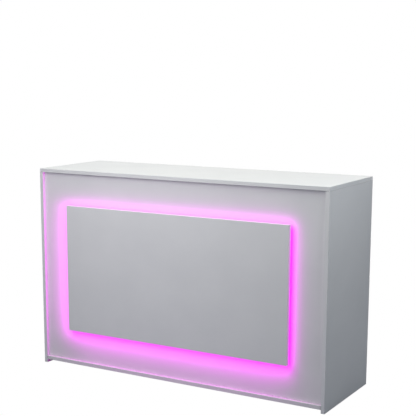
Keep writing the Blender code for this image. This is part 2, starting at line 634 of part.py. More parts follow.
def make_led_strip():
    """One flexible strip round the battens' outer faces, so that its light washes over the front panel."""
    lines = [strip_line(SEAT), strip_line(SEAT + STRIP_THICKNESS)]
    bm = bmesh.new()
    rings = [[bm.verts.new((x, y, z)) for (x, z), y in zip((inner, outer, outer, inner), (
        BATTEN_Y - STRIP_WIDTH / 2, BATTEN_Y - STRIP_WIDTH / 2,
        BATTEN_Y + STRIP_WIDTH / 2, BATTEN_Y + STRIP_WIDTH / 2))] for inner, outer in zip(*lines)]
    for ring, after in zip(rings, rings[1:]):
        for i in range(4):
            bm.faces.new((ring[i], after[i], after[i - 1], ring[i - 1]))
    bm.faces.new(rings[0])
    bm.faces.new(rings[-1])
    bmesh.ops.recalc_face_normals(bm, faces=bm.faces)
    strip = add_object("led_strip", mesh_from(bm, "led_strip"), STRIP)
    x, low, high = (edge + SEAT + STRIP_THICKNESS / 2 for edge in (BATTEN_X, -BATTEN_LOW, BATTEN_HIGH))
    left, right = -BATTEN_X + CORNER_RADIUS, BATTEN_X - CORNER_RADIUS
    foot, head = BATTEN_LOW + CORNER_RADIUS, STRIP_FINISH_Z
    bm = bmesh.new()
    add_lamps(bm, (left, BATTEN_Y, high), (STRIP_START_X, BATTEN_Y, high), WAYS["+Z"])
    add_lamps(bm, (left, BATTEN_Y, -low), (right, BATTEN_Y, -low), WAYS["-Z"])
    add_lamps(bm, (-x, BATTEN_Y, foot), (-x, BATTEN_Y, BATTEN_HIGH - CORNER_RADIUS), WAYS["-X"])
    add_lamps(bm, (x, BATTEN_Y, foot), (x, BATTEN_Y, head), WAYS["+X"])
    boolean(strip, "UNION", add_object("led_strip_lamps", mesh_from(bm, "led_strip_lamps"), cutter=True))


def make_case(name, length, depth, height, rounding, x, material):
    """A small case screwed up against the worktop's underside."""
    high = UNDERTOP_Z - SEAT
    case = make_board(name, (x - length / 2, ELECTRICS_Y - depth / 2, high - height),
                      (x + length / 2, ELECTRICS_Y + depth / 2, high), material, rounding)
    case.modifiers["eased_edges"].segments = 2
    return case


def make_controller():
    """The light controller, with three sprung push keys facing the staff, each held in by its flange."""
    case = make_case("led_controller", CONTROLLER_LENGTH, CONTROLLER_DEPTH, CONTROLLER_HEIGHT,
                     CONTROLLER_ROUND, CONTROLLER_X, PALE_CASE)
    keys = {"key_power": -KEY_PITCH, "key_colour": 0, "key_mode": KEY_PITCH}
    inward = WAYS["-Y"]
    holes = [((CONTROLLER_X + x, KEY_FACE_Y, KEY_Z), inward, KEY_RADIUS + SEAT, KEY_WALL + OVERRUN)
             for x in keys.values()]
    drill(case, "key_holes", holes, TURNED_SIDES)
    bm = bmesh.new()
    for x in keys.values():
        place = (CONTROLLER_X + x, KEY_FACE_Y - KEY_WALL, KEY_Z)
        length = SEAT + KEY_FLANGE_THICKNESS + KEY_TRAVEL + SEAT
        add_rod(bm, place, inward, length, KEY_FLANGE_RADIUS + SEAT, TURNED_SIDES)
    boolean(case, "DIFFERENCE", add_object("key_pockets", mesh_from(bm, "key_pockets"), cutter=True))
    flange = KEY_ROOT + KEY_FLANGE_THICKNESS
    profile = [(0, KEY_PROUD), (KEY_RADIUS - KEY_DOME, KEY_PROUD), (KEY_RADIUS, KEY_PROUD - KEY_DOME),
               (KEY_RADIUS, flange), (KEY_FLANGE_RADIUS, flange), (KEY_FLANGE_RADIUS, KEY_ROOT),
               (0, KEY_ROOT)]
    for name, x in keys.items():
        make_turned(name, profile, KEY_RUBBER, (CONTROLLER_X + x, KEY_FACE_Y, KEY_Z), WAYS["+Y"])


def make_driver():
    """The mains driver: a case with screw lugs, and a two-pin inlet recessed in its end."""
    driver = make_case("led_driver", DRIVER_LENGTH, DRIVER_DEPTH, DRIVER_HEIGHT, DRIVER_ROUND,
                       DRIVER_X, DARK_CASE)
    high = UNDERTOP_Z - SEAT
    reach = DRIVER_LENGTH / 2 + LUG_LENGTH
    bm = bmesh.new()
    add_box(bm, (DRIVER_X - reach, ELECTRICS_Y - LUG_WIDTH / 2, LUG_LOW),
            (DRIVER_X + reach, ELECTRICS_Y + LUG_WIDTH / 2, high))
    boolean(driver, "UNION", add_object("led_driver_lugs", mesh_from(bm, "led_driver_lugs"), cutter=True))
    drill(driver, "lug_holes", [((x, ELECTRICS_Y, LUG_LOW), WAYS["+Z"], LUG_HOLE_RADIUS,
                                 LUG_THICKNESS + OVERRUN) for x in DRIVER_SCREW_X])
    end_x = DRIVER_X - DRIVER_LENGTH / 2
    inlet_z = (LUG_LOW + high - DRIVER_HEIGHT) / 2
    bm = bmesh.new()
    add_box(bm, (end_x - OVERRUN, ELECTRICS_Y - INLET_WIDTH / 2, inlet_z - INLET_HEIGHT / 2),
            (end_x + INLET_DEPTH, ELECTRICS_Y + INLET_WIDTH / 2, inlet_z + INLET_HEIGHT / 2))
    along = [e for e in bm.edges if abs((e.verts[0].co - e.verts[1].co).x) > INLET_DEPTH / 2]
    bmesh.ops.bevel(bm, geom=along, offset=INLET_HEIGHT * 0.45, segments=3, profile=0.5, affect="EDGES")
    inlet = add_object("led_driver_inlet", mesh_from(bm, "led_driver_inlet"), cutter=True)
    boolean(driver, "DIFFERENCE", inlet)
    bm = bmesh.new()
    for sign in (-1, 1):
        root = (end_x + INLET_DEPTH + OVERRUN, ELECTRICS_Y + sign * INLET_PIN_PITCH / 2, inlet_z)
        add_rod(bm, root, WAYS["-X"], INLET_PIN_LENGTH + OVERRUN, INLET_PIN_RADIUS)
    boolean(driver, "UNION", add_object("led_driver_pins", mesh_from(bm, "led_driver_pins"), cutter=True))


def make_driver_screws():
    """Pan-head screws up through the driver's lugs into the worktop."""
    top = LUG_LOW - SEAT
    tip = SCREW_LENGTH - SEAT + UNDERTOP_Z - top
    profile = [(0, tip), (SCREW_RADIUS, tip), (SCREW_RADIUS, 0), (SCREW_HEAD_RADIUS, 0),
               (SCREW_HEAD_RADIUS, -SCREW_HEAD_HEIGHT / 2), (SCREW_RADIUS, -SCREW_HEAD_HEIGHT),
               (0, -SCREW_HEAD_HEIGHT)]
    for name, x in zip(("left", "right"), DRIVER_SCREW_X):
        make_turned(f"driver_screw_{name}", profile, ZINC, (x, ELECTRICS_Y, top), WAYS["+Z"], BOLT_SIDES)


def make_grommet():
    """A flanged sleeve that lines the front panel's hole for the lead to the strip."""
    bore = LEAD_RADIUS + SEAT
    flange = SEAT + GROMMET_FLANGE_THICKNESS
    foot = -BOARD
    profile = [(bore, flange), (GROMMET_FLANGE_RADIUS, flange), (GROMMET_FLANGE_RADIUS, SEAT),
               (GROMMET_SLEEVE_RADIUS, SEAT), (GROMMET_SLEEVE_RADIUS, foot), (bore, foot)]
    make_turned("cable_grommet", profile, KEY_RUBBER, (GROMMET_X, FRONT_BACK_Y, GROMMET_Z), WAYS["+Y"],
                CAM_SIDES)


def make_leads():
    """The lead from driver to controller, and the one from there through the front panel to the strip."""
    driver_end = DRIVER_X + DRIVER_LENGTH / 2 + SEAT
    controller_start = CONTROLLER_X - CONTROLLER_LENGTH / 2 - SEAT
    make_lead("supply_lead", [((x, ELECTRICS_Y, LEAD_Z), 0) for x in (driver_end, controller_start)])
    case_end = CONTROLLER_X + CONTROLLER_LENGTH / 2 + SEAT
    make_lead("strip_lead", [
        ((case_end, ELECTRICS_Y, LEAD_Z), 0),
        ((GROMMET_X, ELECTRICS_Y, LEAD_Z), BEND_RADIUS),
        ((GROMMET_X, DROP_Y, LEAD_Z), BEND_RADIUS),
        ((GROMMET_X, DROP_Y, GROMMET_Z), TIGHT_BEND_RADIUS),
        ((GROMMET_X, BATTEN_Y, GROMMET_Z), TIP_BEND_RADIUS),
        ((STRIP_START_X + SEAT, BATTEN_Y, BATTEN_HIGH + SEAT + LEAD_RADIUS), 0),
    ])


def make_clip(name, place, height, along, away):
    """A nail-on clip: a block on the board, with a hole for the lead and a nail's head beside it."""
    outer = LEAD_RADIUS + SEAT + CLIP_WALL
    bm = bmesh.new()
    add_box(bm, (-CLIP_LENGTH / 2, -outer, SEAT), (CLIP_LENGTH / 2, outer + CLIP_FOOT, height + outer))
    clip = add_object(name, mesh_from(bm, name), PALE_CASE)
    turn = Matrix((along, away.cross(along), away)).transposed().to_4x4()
    clip.matrix_world = Matrix.Translation(place) @ turn
    bm = bmesh.new()
    add_rod(bm, (-CLIP_LENGTH, 0, height), WAYS["+X"], 2 * CLIP_LENGTH, LEAD_RADIUS + SEAT)
    hole = add_object(f"{name}_hole", mesh_from(bm, f"{name}_hole"), cutter=True)
    bm = bmesh.new()
    head = (0, outer + CLIP_FOOT / 2, height)
    add_rod(bm, head, WAYS["+Z"], outer + CLIP_NAIL_HEAD, CLIP_NAIL_RADIUS)
    nail = add_object(f"{name}_nail", mesh_from(bm, f"{name}_nail"), cutter=True)
    for helper, operation in ((hole, "DIFFERENCE"), (nail, "UNION")):
        helper.parent = clip
        boolean(clip, operation, helper)


def make_clips():
    """Clips halfway along the supply lead, the strip lead's run under the worktop and its drop."""
    driver_end = DRIVER_X + DRIVER_LENGTH / 2 + LUG_LENGTH
    supply_x = (driver_end + CONTROLLER_X - CONTROLLER_LENGTH / 2) / 2
    run_y = (ELECTRICS_Y + DROP_Y) / 2
    drop_z = (LEAD_Z + GROMMET_Z) / 2
    down, back = WAYS["-Z"], WAYS["+Y"]
    make_clip("cable_clip_supply", (supply_x, ELECTRICS_Y, UNDERTOP_Z), LEAD_DROP, WAYS["+X"], down)
    make_clip("cable_clip_run", (GROMMET_X, run_y, UNDERTOP_Z), LEAD_DROP, WAYS["+Y"], down)
    make_clip("cable_clip_drop", (GROMMET_X, FRONT_BACK_Y, drop_z), LEAD_DROP, WAYS["+Z"], back)


make_worktop()
make_side_panels()
make_bottom_panel()
make_front_panel()
make_divider()
make_shelves()
make_shelf_pins()
make_fittings()
make_feet()
make_lit_panel()
make_led_strip()
make_controller()
make_driver()
make_driver_screws()
make_grommet()
make_leads()
make_clips()
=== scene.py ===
"""Dresses the shop counter: edged white boards, a panel washed with magenta light from behind, and the
shelves, fittings and electrics on the staff's side."""

from collections import namedtuple
from functools import partialmethod
from math import pi, radians

import bmesh
import bpy
import numpy as np
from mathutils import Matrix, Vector


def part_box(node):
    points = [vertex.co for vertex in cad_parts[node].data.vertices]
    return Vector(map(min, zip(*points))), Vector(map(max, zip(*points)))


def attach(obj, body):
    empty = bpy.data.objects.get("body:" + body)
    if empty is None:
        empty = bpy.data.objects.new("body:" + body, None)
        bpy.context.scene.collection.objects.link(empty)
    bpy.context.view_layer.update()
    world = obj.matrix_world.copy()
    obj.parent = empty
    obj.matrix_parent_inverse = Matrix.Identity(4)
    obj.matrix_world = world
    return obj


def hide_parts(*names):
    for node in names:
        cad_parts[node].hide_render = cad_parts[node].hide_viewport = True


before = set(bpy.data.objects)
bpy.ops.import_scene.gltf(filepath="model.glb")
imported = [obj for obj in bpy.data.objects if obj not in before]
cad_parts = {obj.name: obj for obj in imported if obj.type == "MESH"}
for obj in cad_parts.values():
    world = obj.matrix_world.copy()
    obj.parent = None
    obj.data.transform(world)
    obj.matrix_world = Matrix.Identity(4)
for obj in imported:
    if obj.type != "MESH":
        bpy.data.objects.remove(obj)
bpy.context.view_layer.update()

X, Y, Z = np.eye(3)
CARCASS = "carcass"
SIDES, ROWS = ("left", "right"), ("front", "rear")
CREASE = radians(32)
MM = 0.001

# Board making
SEAT = 0.0003
EDGING = 0.0015
ARRIS = 0.0006
SEAM = 0.0002
SEAM_DIP = 0.00015
TINY_ROUND = 0.0001
HOLE_RADIUS = 0.0025
HOLE_DEPTH = 0.0072
HOLE_PITCH = 0.032
HOLE_STEPS = np.arange(-2, 3)
BORE_SIDES = 36
CAM_RADIUS = 0.0072
CAM_HEIGHT = 0.0122
CAM_CHAMFER = 0.0004
CAM_DRIVE = (0.0040, 0.0007, 0.0022)
CAM_BORE_RADIUS = 0.0075
CAM_BORE_DEPTH = 0.0125
PEG_RADIUS = 0.0022
SUPPORT_HALF_WIDTH = 0.005
RIB_HALF = 0.0008
GLIDE_BORE_RADIUS = 0.0063
GLIDE_LET = 0.0025

# Light strip
STRIP_HALF_WIDTH = 0.005
STRIP_THICKNESS = 0.0012
STRIP_ROUND = 0.0004
STRIP_BEND = 0.012
STRIP_END = 0.006
LAMP_PITCH = 1 / 30
LAMP_HALF = 0.0025
LAMP_HEIGHT = 0.0016
LAMP_CORNER = 0.0008

# Leads and their fixings
LEAD_RADIUS = 0.0020
LEAD_DROP = 0.0090
LEAD_BENDS = (0.018, 0.018, 0.006, 0.0035)
LEAD_HOLE_RADIUS = 0.0053
GROMMET_RIM = 0.0090
GROMMET_BODY = 0.0050
GROMMET_FLANGE = 0.0015
CLIP_HALF_LENGTH = 0.003
CLIP_OUTER = 0.0043
CLIP_CORNER = 0.0040
CLIP_FOOT = 0.006
CLIP_LAP = 0.0004

# Driver and controller
LUG = 0.012
LUG_LAP = 0.006
LUG_HALF_WIDTH = 0.011
LUG_THICKNESS = 0.003
DRIVER_RIB_PITCH = 0.0048
DRIVER_RIBS_EACH_WAY = 9
DRIVER_END_RIB = 0.020
INLET_DEPTH = 0.012
INLET_MOUTH = 0.001
INLET_HALF = np.array((0, 0.0085, 0.0045))
INLET_CORNER = 0.0044
INLET_PIN_OFF = 0.0043
SCREW_HEAD = (0.0031, 0.0018, 0.0004)
SCREW_DRIVE = (0.0020, 0.00045, 0.0013)
CASE_SEAM = 0.006

# Glow of the strip on the front panel, in metres from the strip's own rectangle
GLOW_COLOUR = (1.0, 0.012, 1.0, 1.0)
GLOW_LIMIT = 0.66
GLOW_LIMIT_ABOVE = 0.50
GLOW_SHADED = 0.36
GLOW_SHADED_REACH = {"right": 0.010, "left": 0.010, "top": 0.006, "bottom": 0.025}
GLOW_PEAK = 0.80
GLOW_START = 0.0064
GLOW_SPREAD = 0.57
GLOW_REACH = {"right": 0.031, "left": 0.0823, "top": 0.0339, "bottom": 0.109}
CORE_RISE = 0.249
CORE_WIDTH = 0.239
CORE_POWER = 2.54
CORE_REACH = {"right": 0.0677, "left": 0.114, "top": 0.0659, "bottom": 0.1065}
BOUNCE_RISE = 0.08
BOUNCE_REACH = 0.003
BOUNCE_SPAN = (-0.03, 0.64, 12.0)
HEIGHT_BLEND = 0.02

# Glow on the narrow faces round the front recess
Wash = namedtuple("Wash", "Centre Half Power Peak")
LEFT_WASH = Wash(0.50, 0.45, 6.0, 0.52)
FLOOR_TOP_WASH = Wash(*BOUNCE_SPAN, 0.44)
FLOOR_TOP_FROM = 0.005
FLOOR_EDGE_WASH = Wash(0.0, 0.55, 6.0, 0.06)
LIT_WASH = Wash(0.38, 0.30, 6.0, 0.10)
FOOT_REACH, FOOT_POWER, FOOT_RISE = 0.02, 2.0, 0.17

# Painted shade: its share and reach in the corners, and round the light panel in metres from that panel's
# rectangle
PAINTED_SHADE_COLOUR = (0.20, 0.20, 0.205, 1.0)
SHADE_PEAK = 0.75
SHADE_ABOVE = 0.33
SHADE_REACH = {"right": 0.0040, "left": 0.014, "top": 0.012, "bottom": 0.016}
FRONT_CORNER_SHADE = (0.08, 0.012)
FLOOR_CORNER_SHADE = (0.5, 0.004)

# Tones and the spread of noise they follow; the sides' front edges have painted light low down and painted
# shade near the top, and the light panel's top edge a painted highlight
CLOUD_SPREAD, SHEEN_SPREAD = (0.35, 0.65), (0.3, 0.7)
BOARD_TONES = ((0.785, 0.792, 0.796, 1), (0.812, 0.818, 0.820, 1))
RUBBED_TONE = (0.50, 0.50, 0.50, 1.0)
EDGE_LOW_PAINTED_LIGHT = (0.89, 0.895, 0.905, 1.0)
EDGE_HIGH_PAINTED_SHADE = (0.715, 0.72, 0.725, 1.0)
PANEL_TOP_PAINTED_LIGHT = (0.92, 0.92, 0.92, 1.0)


def span(node):
    """A frame node's lowest and highest corners, as arrays."""
    low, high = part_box(node)
    return np.array(low), np.array(high)


def middle_of(node):
    return sum(span(node)) / 2


# Meshes from whole arrays

Shell = namedtuple("Shell", "points quads ends mark")


def joined(rings, after):
    """Quads from each ring of point numbers to the ring after it."""
    return np.stack((rings, np.roll(rings, -1, 1), np.roll(after, -1, 1), after), -1).reshape(-1, 4)


def stacked(rings, mark=0.0):
    """A closed shell from rings of shape (levels, points, 3): quads join each ring to the next, and one flat
    face closes each end. Mark is one number a level, which a finish may read."""
    index = np.arange(rings[..., 0].size).reshape(rings.shape[:2])
    marks = np.repeat(np.broadcast_to(mark, len(index)), index.shape[1])
    return Shell(rings.reshape(-1, 3), joined(index[:-1], index[1:]), [index[0, ::-1], index[-1]], marks)


def looped(rings):
    """A ring-shaped shell: as stacked, but the last ring joins the first and nothing is capped."""
    index = np.arange(rings[..., 0].size).reshape(rings.shape[:2])
    return Shell(rings.reshape(-1, 3), joined(index, np.roll(index, -1, 0)), [], np.zeros(index.size))


def repeated(shell, places, frames):
    """One copy of a shell at each place, its three measures laid along that place's three directions."""
    copies = len(places)
    points = np.einsum("pk,ckj->cpj", shell.points, frames) + places[:, None]
    shift = np.arange(copies) * len(shell.points)
    quads = (shell.quads[None] + shift[:, None, None]).reshape(-1, 4)
    ends = [row for end in shell.ends for row in end[None] + shift[:, None]]
    return Shell(points.reshape(-1, 3), quads, ends, np.tile(shell.mark, copies))


def mesh_of(name, shells):
    """One mesh of several closed shells, with every face turned outwards."""
    starts = np.cumsum([0] + [len(shell.points) for shell in shells])
    faces = [face for shell, start in zip(shells, starts)
             for face in [*(shell.quads + start).tolist(), *((end + start).tolist() for end in shell.ends)]]
    mesh = bpy.data.meshes.new(name)
    mesh.from_pydata(np.concatenate([shell.points for shell in shells]).tolist(), [], faces)
    marks = mesh.attributes.new("mark", "FLOAT", "POINT")
    marks.data.foreach_set("value", np.concatenate([shell.mark for shell in shells]).astype(np.float32))
    turn = bmesh.new()
    turn.from_mesh(mesh)
    bmesh.ops.recalc_face_normals(turn, faces=turn.faces)
    turn.to_mesh(mesh)
    turn.free()
    return mesh


def in_scene(name, data):
    """A new object, linked into the scene."""
    made = bpy.data.objects.new(name, data)
    bpy.context.scene.collection.objects.link(made)
    return made


def cut(name, solid, cutters):
    """The solid's mesh with every cutter taken out of it."""
    helpers = [in_scene(name, mesh_of(name, shells)) for shells in (solid, cutters)]
    bore = helpers[0].modifiers.new("bores", "BOOLEAN")
    bore.operation, bore.solver, bore.object = "DIFFERENCE", "EXACT", helpers[1]
    ready = helpers[0].evaluated_get(bpy.context.evaluated_depsgraph_get())
    mesh = bpy.data.meshes.new_from_object(ready)
    for helper in helpers:
        spent = helper.data
        bpy.data.objects.remove(helper)
        bpy.data.meshes.remove(spent)
    return mesh


def put(name, mesh, finish, slot, *nodes, body=CARCASS):
    """Shows a mesh, or shells, as a piece that rides on a body and stands for the frame's nodes."""
    if isinstance(mesh, list):
        mesh = mesh_of(name, mesh)
    mesh.name = name
    mesh.shade_smooth()
    mesh.set_sharp_from_angle(angle=CREASE)
    mesh.materials.clear()
    mesh.materials.append(finish)
    piece = in_scene(name, mesh)
    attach(piece, body)
    if nodes:
        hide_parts(*nodes)


# Forms

def mm(*points):
    """A profile given in millimetres, in metres."""
    return np.array(points) * MM


def arrays(*values):
    return [np.asarray(value, float) for value in values]


def unit(arrows):
    return arrows / np.linalg.norm(arrows, axis=-1, keepdims=True)


def rounded_outline(half_a, half_b, radius, steps=4):
    """A rounded rectangle: each corner's centre plus radius times (cosine, sine) over its quarter turn.
    Sizes given as columns make one outline a row."""
    turn = (np.arange(4)[:, None] * pi / 2 + np.linspace(0, pi / 2, steps + 1)).ravel()
    side_a, side_b = np.repeat([[1, -1, -1, 1], [1, 1, -1, -1]], steps + 1, axis=1)
    a = (half_a - radius) * side_a + radius * np.cos(turn)
    b = (half_b - radius) * side_b + radius * np.sin(turn)
    return np.stack(np.broadcast_arrays(a, b), -1)


def slab(low, high, thin, profile, corner, steps=4, mark=0.0):
    """A flat piece: its rounded outline, drawn in by the profile's first measure, stands at the profile's
    second one, which runs along the thin axis from the middle."""
    low, high, profile = arrays(low, high, profile)
    half = (high - low) / 2
    a, b = (axis for axis in range(3) if axis != thin)
    inset = profile[:, :1]
    flat = rounded_outline(half[a] - inset, half[b] - inset, np.maximum(corner - inset, TINY_ROUND), steps)
    rings = np.empty((*flat.shape[:2], 3))
    rings[..., a], rings[..., b], rings[..., thin] = flat[..., 0], flat[..., 1], profile[:, 1:]
    return stacked(rings + (low + high) / 2, mark)


def mirrored(half):
    """A profile and its mirror image, from one face over the edge to the other."""
    half = np.asarray(half, float)
    return np.concatenate((half, (half * (1, -1))[::-1]))


def quarter_round(radius, face, steps=4):
    """(inset, height) of a quarter circle from a flat face at this height over to the edge."""
    turn = np.linspace(0, pi / 2, steps + 1)
    return np.stack((radius * (1 - np.sin(turn)), face + radius * (1 - np.cos(turn))), -1)


def edged_profile(thickness):
    """Board's face to face: the fine seam of the edging tape, its quarter round and its flat, mirrored."""
    face = -thickness / 2
    seam = [(EDGING + SEAM, face), (EDGING + SEAM / 2, face + SEAM_DIP), (EDGING, face)]
    return mirrored(np.concatenate((seam, quarter_round(ARRIS, face), [(0, face + 2 * ARRIS)])))


def board(low, high):
    """A melamine board with edging tape all round, thin along its shortest side; its arrises are marked."""
    low, high = arrays(low, high)
    thin = int(np.argmin(high - low))
    profile = edged_profile((high - low)[thin])
    edge = (profile[:, 0] < 0.8 * ARRIS) & (np.abs(profile[:, 1]) > (high - low)[thin] / 2 - ARRIS)
    return slab(low, high, thin, profile, EDGING, mark=edge.astype(float))


def rounded_block(low, high, thin, radius, corner):
    """A block with its plan corners and all its arrises round."""
    low, high = arrays(low, high)
    return slab(low, high, thin, mirrored(quarter_round(radius, (low - high)[thin] / 2)), corner)


def swung(radius, height, way, turn):
    """Rings of points at these radii and heights, swung through the turns round an axis along way."""
    across = np.roll(way, 1)
    spoke = np.cos(turn)[:, None] * across + np.sin(turn)[:, None] * np.cross(way, across)
    return radius[..., None] * spoke + height[..., None] * way


def turned(profile, place, way, steps=32, form=stacked, **more):
    """A turned piece: (radius, height) points swung round the axis through place, with height along way."""
    profile = np.asarray(profile, float)
    turn = np.arange(steps) * 2 * pi / steps
    return form(place + swung(profile[:, :1], profile[:, 1:], way, turn), **more)


def eased_line(corners, radii, steps=8):
    """Straight runs with round corners: an arc of each radius touches the two runs that meet at a corner."""
    places = np.asarray(corners, float)
    corner = places[1:-1]
    back, on = unit(places[:-2] - corner), unit(places[2:] - corner)
    half = np.arccos(np.clip((back * on).sum(-1, keepdims=True), -1, 1)) / 2
    radius = np.broadcast_to(radii, len(corner))[:, None]
    centre = corner + unit(back + on) * radius / np.sin(half)
    first, last = (corner + run * radius / np.tan(half) - centre for run in (back, on))
    sweep = (pi - 2 * half)[:, None]
    t = np.linspace(0, 1, steps + 1)[:, None]
    arcs = centre[:, None] + (first[:, None] * np.sin((1 - t) * sweep)
                              + last[:, None] * np.sin(t * sweep)) / np.sin(sweep)
    return np.concatenate((places[:1], arcs.reshape(-1, places.shape[1]), places[-1:]))


def swept(path, section, upright):
    """A section carried along a path: its first measure goes sideways and its second towards upright."""
    runs = unit(np.diff(path, axis=0))
    along = unit(np.concatenate((runs[:1], runs[:-1] + runs[1:], runs[-1:])))
    across = unit(np.cross(along, upright))
    over = np.cross(across, along)
    return stacked(path[:, None] + section[:, :1] * across[:, None] + section[:, 1:] * over[:, None])


def round_section(radius, steps=16):
    """A circle: radius times (cosine, sine) of even turns."""
    turn = np.arange(steps) * 2 * pi / steps
    return radius * np.stack((np.cos(turn), np.sin(turn)), -1)


def driven_head(place, way, radius, rise, dome, body, drive, rings=26, steps=64):
    """A round head with a cross recess: height is the rim's rise plus a flat dome, less the drive's depth
    wherever the point lies within a bar's half width of either axis and inside the bar's reach. Body is the
    (radius, height) line below the rim."""
    reach, half_width, depth = drive
    soft = radius / 22

    def bar(aside, along):
        inside = np.clip((half_width - np.abs(aside)) / soft + 0.5, 0, 1)
        return inside * np.clip((reach - np.abs(along)) / soft + 0.5, 0, 1)

    r = np.linspace(radius, radius / 40, rings)[:, None]
    turn = (np.arange(steps) + 0.5) * 2 * pi / steps
    u, v = r * np.cos(turn), r * np.sin(turn)
    height = rise + dome * (1 - (r / radius) ** 2) - depth * np.maximum(bar(u, v), bar(v, u))
    below = np.asarray(body, float)
    shank = swung(below[:, :1], below[:, 1:], way, turn)
    return stacked(place + np.concatenate((shank, swung(r, height, way, turn))))


# Finishes

class Signal:
    """A node's output. Arithmetic with it adds the Math nodes that work out the result."""
    __array_ufunc__ = None

    def __init__(self, socket):
        self.socket, self.tree = socket, socket.id_data

    def worked(self, operation, *others):
        return calc(operation, self, *others)

    def __rsub__(self, other):
        return calc("SUBTRACT", other, self)

    __add__ = __radd__ = partialmethod(worked, "ADD")
    __sub__ = partialmethod(worked, "SUBTRACT")
    __mul__ = partialmethod(worked, "MULTIPLY")
    __truediv__ = partialmethod(worked, "DIVIDE")
    __pow__ = partialmethod(worked, "POWER")
    __lt__ = partialmethod(worked, "LESS_THAN")
    __gt__ = partialmethod(worked, "GREATER_THAN")
    __abs__ = partialmethod(worked, "ABSOLUTE")


def feed(socket, value):
    """Links another node's output to a socket, or sets the socket to a plain value."""
    if isinstance(value, Signal):
        socket.id_data.links.new(value.socket, socket)
    else:
        socket.default_value = value


def add_node(tree, kind, inputs=None, **settings):
    """One node; inputs give a socket, by name or number, a value or another node's output."""
    made = tree.nodes.new("ShaderNode" + kind)
    for name, value in settings.items():
        setattr(made, name, value)
    for key, value in (inputs or {}).items():
        feed(made.inputs[key], value)
    return made


def signal_of(tree, kind, inputs=None, out=0, **settings):
    """One output of a new node."""
    return Signal(add_node(tree, kind, inputs, **settings).outputs[out])


def calc(operation, *values):
    tree = next(value.tree for value in values if isinstance(value, Signal))
    return signal_of(tree, "Math", dict(enumerate(values)), operation=operation)


def power_of_e(value):
    return calc("EXPONENT", value)


def mapped(value, low, high, floor=0.0, top=1.0):
    """A value carried from floor..top to low..high, without going past either."""
    limits = {"Value": value, "From Min": floor, "From Max": top, "To Min": low, "To Max": high}
    return signal_of(value.tree, "MapRange", limits)


def blended(share, under, over):
    """Colour under, giving way to colour over by the share."""
    return signal_of(share.tree, "Mix", {0: share, 6: under, 7: over}, 2, data_type="RGBA")


def glow(share):
    """The strip's colour, by the share."""
    return signal_of(share.tree, "VectorMath", {0: GLOW_COLOUR[:3], "Scale": share}, operation="SCALE")


def here(tree):
    return signal_of(tree, "TexCoord", out="Object")


def spot(tree):
    """A point's three measures in the object's own coordinates."""
    return [Signal(out) for out in add_node(tree, "SeparateXYZ", {0: here(tree)}).outputs]


def marked(tree):
    return signal_of(tree, "Attribute", out="Fac", attribute_name="mark")


def noise(tree, scale, detail=2.0, where=None):
    inputs = {"Vector": where or here(tree), "Scale": scale, "Detail": detail, "Roughness": 0.55}
    return signal_of(tree, "TexNoise", inputs)


def new_group(name, inputs, **outputs):
    """A node group with named number inputs, and outputs that are numbers or a colour."""
    tree = bpy.data.node_groups.new(name, "ShaderNodeTree")
    for label in inputs.split():
        tree.interface.new_socket(label, in_out="INPUT", socket_type="NodeSocketFloat")
    for label, kind in outputs.items():
        tree.interface.new_socket(label, in_out="OUTPUT", socket_type=f"NodeSocket{kind}")
    ways_in, ways_out = tree.nodes.new("NodeGroupInput"), tree.nodes.new("NodeGroupOutput")
    return tree, {label: Signal(ways_in.outputs[label]) for label in inputs.split()}, ways_out.inputs


def place_group(tree, group, **inputs):
    """A node group's outputs, by name."""
    return {out.name: Signal(out) for out in add_node(tree, "Group", inputs, node_tree=group).outputs}


def grain_group():
    """Two noises, a fine one for bump and sheen and a broad one for tone."""
    tree, given, out = new_group("pearl_grain", "Fine Broad", Fine="Float", Broad="Float")
    for label, detail in (("Fine", 2.0), ("Broad", 4.0)):
        feed(out[label], noise(tree, given[label], detail))
    return tree


def moulded_group():
    """Spark-eroded mould skin: rounded cells for height, and a broad noise for sheen."""
    tree, given, out = new_group("moulded_skin", "Scale", Height="Float", Sheen="Float")
    cells = {"Vector": here(tree), "Scale": given["Scale"]}
    feed(out["Height"], signal_of(tree, "TexVoronoi", cells, "Distance", feature="SMOOTH_F1"))
    feed(out["Sheen"], noise(tree, given["Scale"] * 0.04, 3.0))
    return tree


def metal_group():
    """Metal skin: fine mottling for height, and broader clouding for sheen and tone."""
    tree, given, out = new_group("metal_skin", "Scale", Height="Float", Sheen="Float")
    feed(out["Height"], noise(tree, given["Scale"], 3.0))
    feed(out["Sheen"], noise(tree, given["Scale"] * 0.12, 2.0))
    return tree


def rubbed_group():
    """Where handling has greyed a marked arris: the mark, with an even share and more in patches of noise."""
    tree, given, out = new_group("rubbed_edges", "Patch Even", Mask="Float")
    patches = mapped(noise(tree, given["Patch"], 5.0), given["Even"], 1, 0.45, 0.70)
    feed(out["Mask"], marked(tree) * patches)
    return tree


def recess_group():
    """The strip's light on a narrow face of the front recess: peak / (1 + (|along - centre| / half) ^ power),
    kept to points in front of the front panel and within a hair of the lit face."""
    tree, given, out = new_group("recess_glow", "Along Depth Lift Centre Half Power Peak", Glow="Color")
    fall = (abs(given["Along"] - given["Centre"]) / given["Half"]) ** given["Power"] + 1.0
    near = (given["Depth"] < 0.0) * (abs(given["Lift"]) < SEAT)
    feed(out["Glow"], glow(given["Peak"] / fall * near))
    return tree


def corner_group():
    """Painted shade against the sides, where the corners are shaded: peak times e to the minus distance from
    the nearer side, by the reach.
    """
    tree, given, out = new_group("corner_shade", "Across Side Reach Peak", Share="Float")
    near = power_of_e((abs(given["Across"]) - given["Side"]) / given["Reach"])
    feed(out["Share"], near * given["Peak"])
    return tree


def edge_shading_group():
    """Painted light and shade on a side's front edging: a tone, lighter low down and darker higher up, for
    how the light falls there, and a mask that keeps it to that edge.
    """
    tree, given, out = new_group("painted_edge_shading", "Front Top", Tone="Color", Mask="Float")
    place = spot(tree)
    feed(out["Tone"], blended(place[2] / given["Top"], EDGE_LOW_PAINTED_LIGHT, EDGE_HIGH_PAINTED_SHADE))
    feed(out["Mask"], place[1] < given["Front"])
    return tree


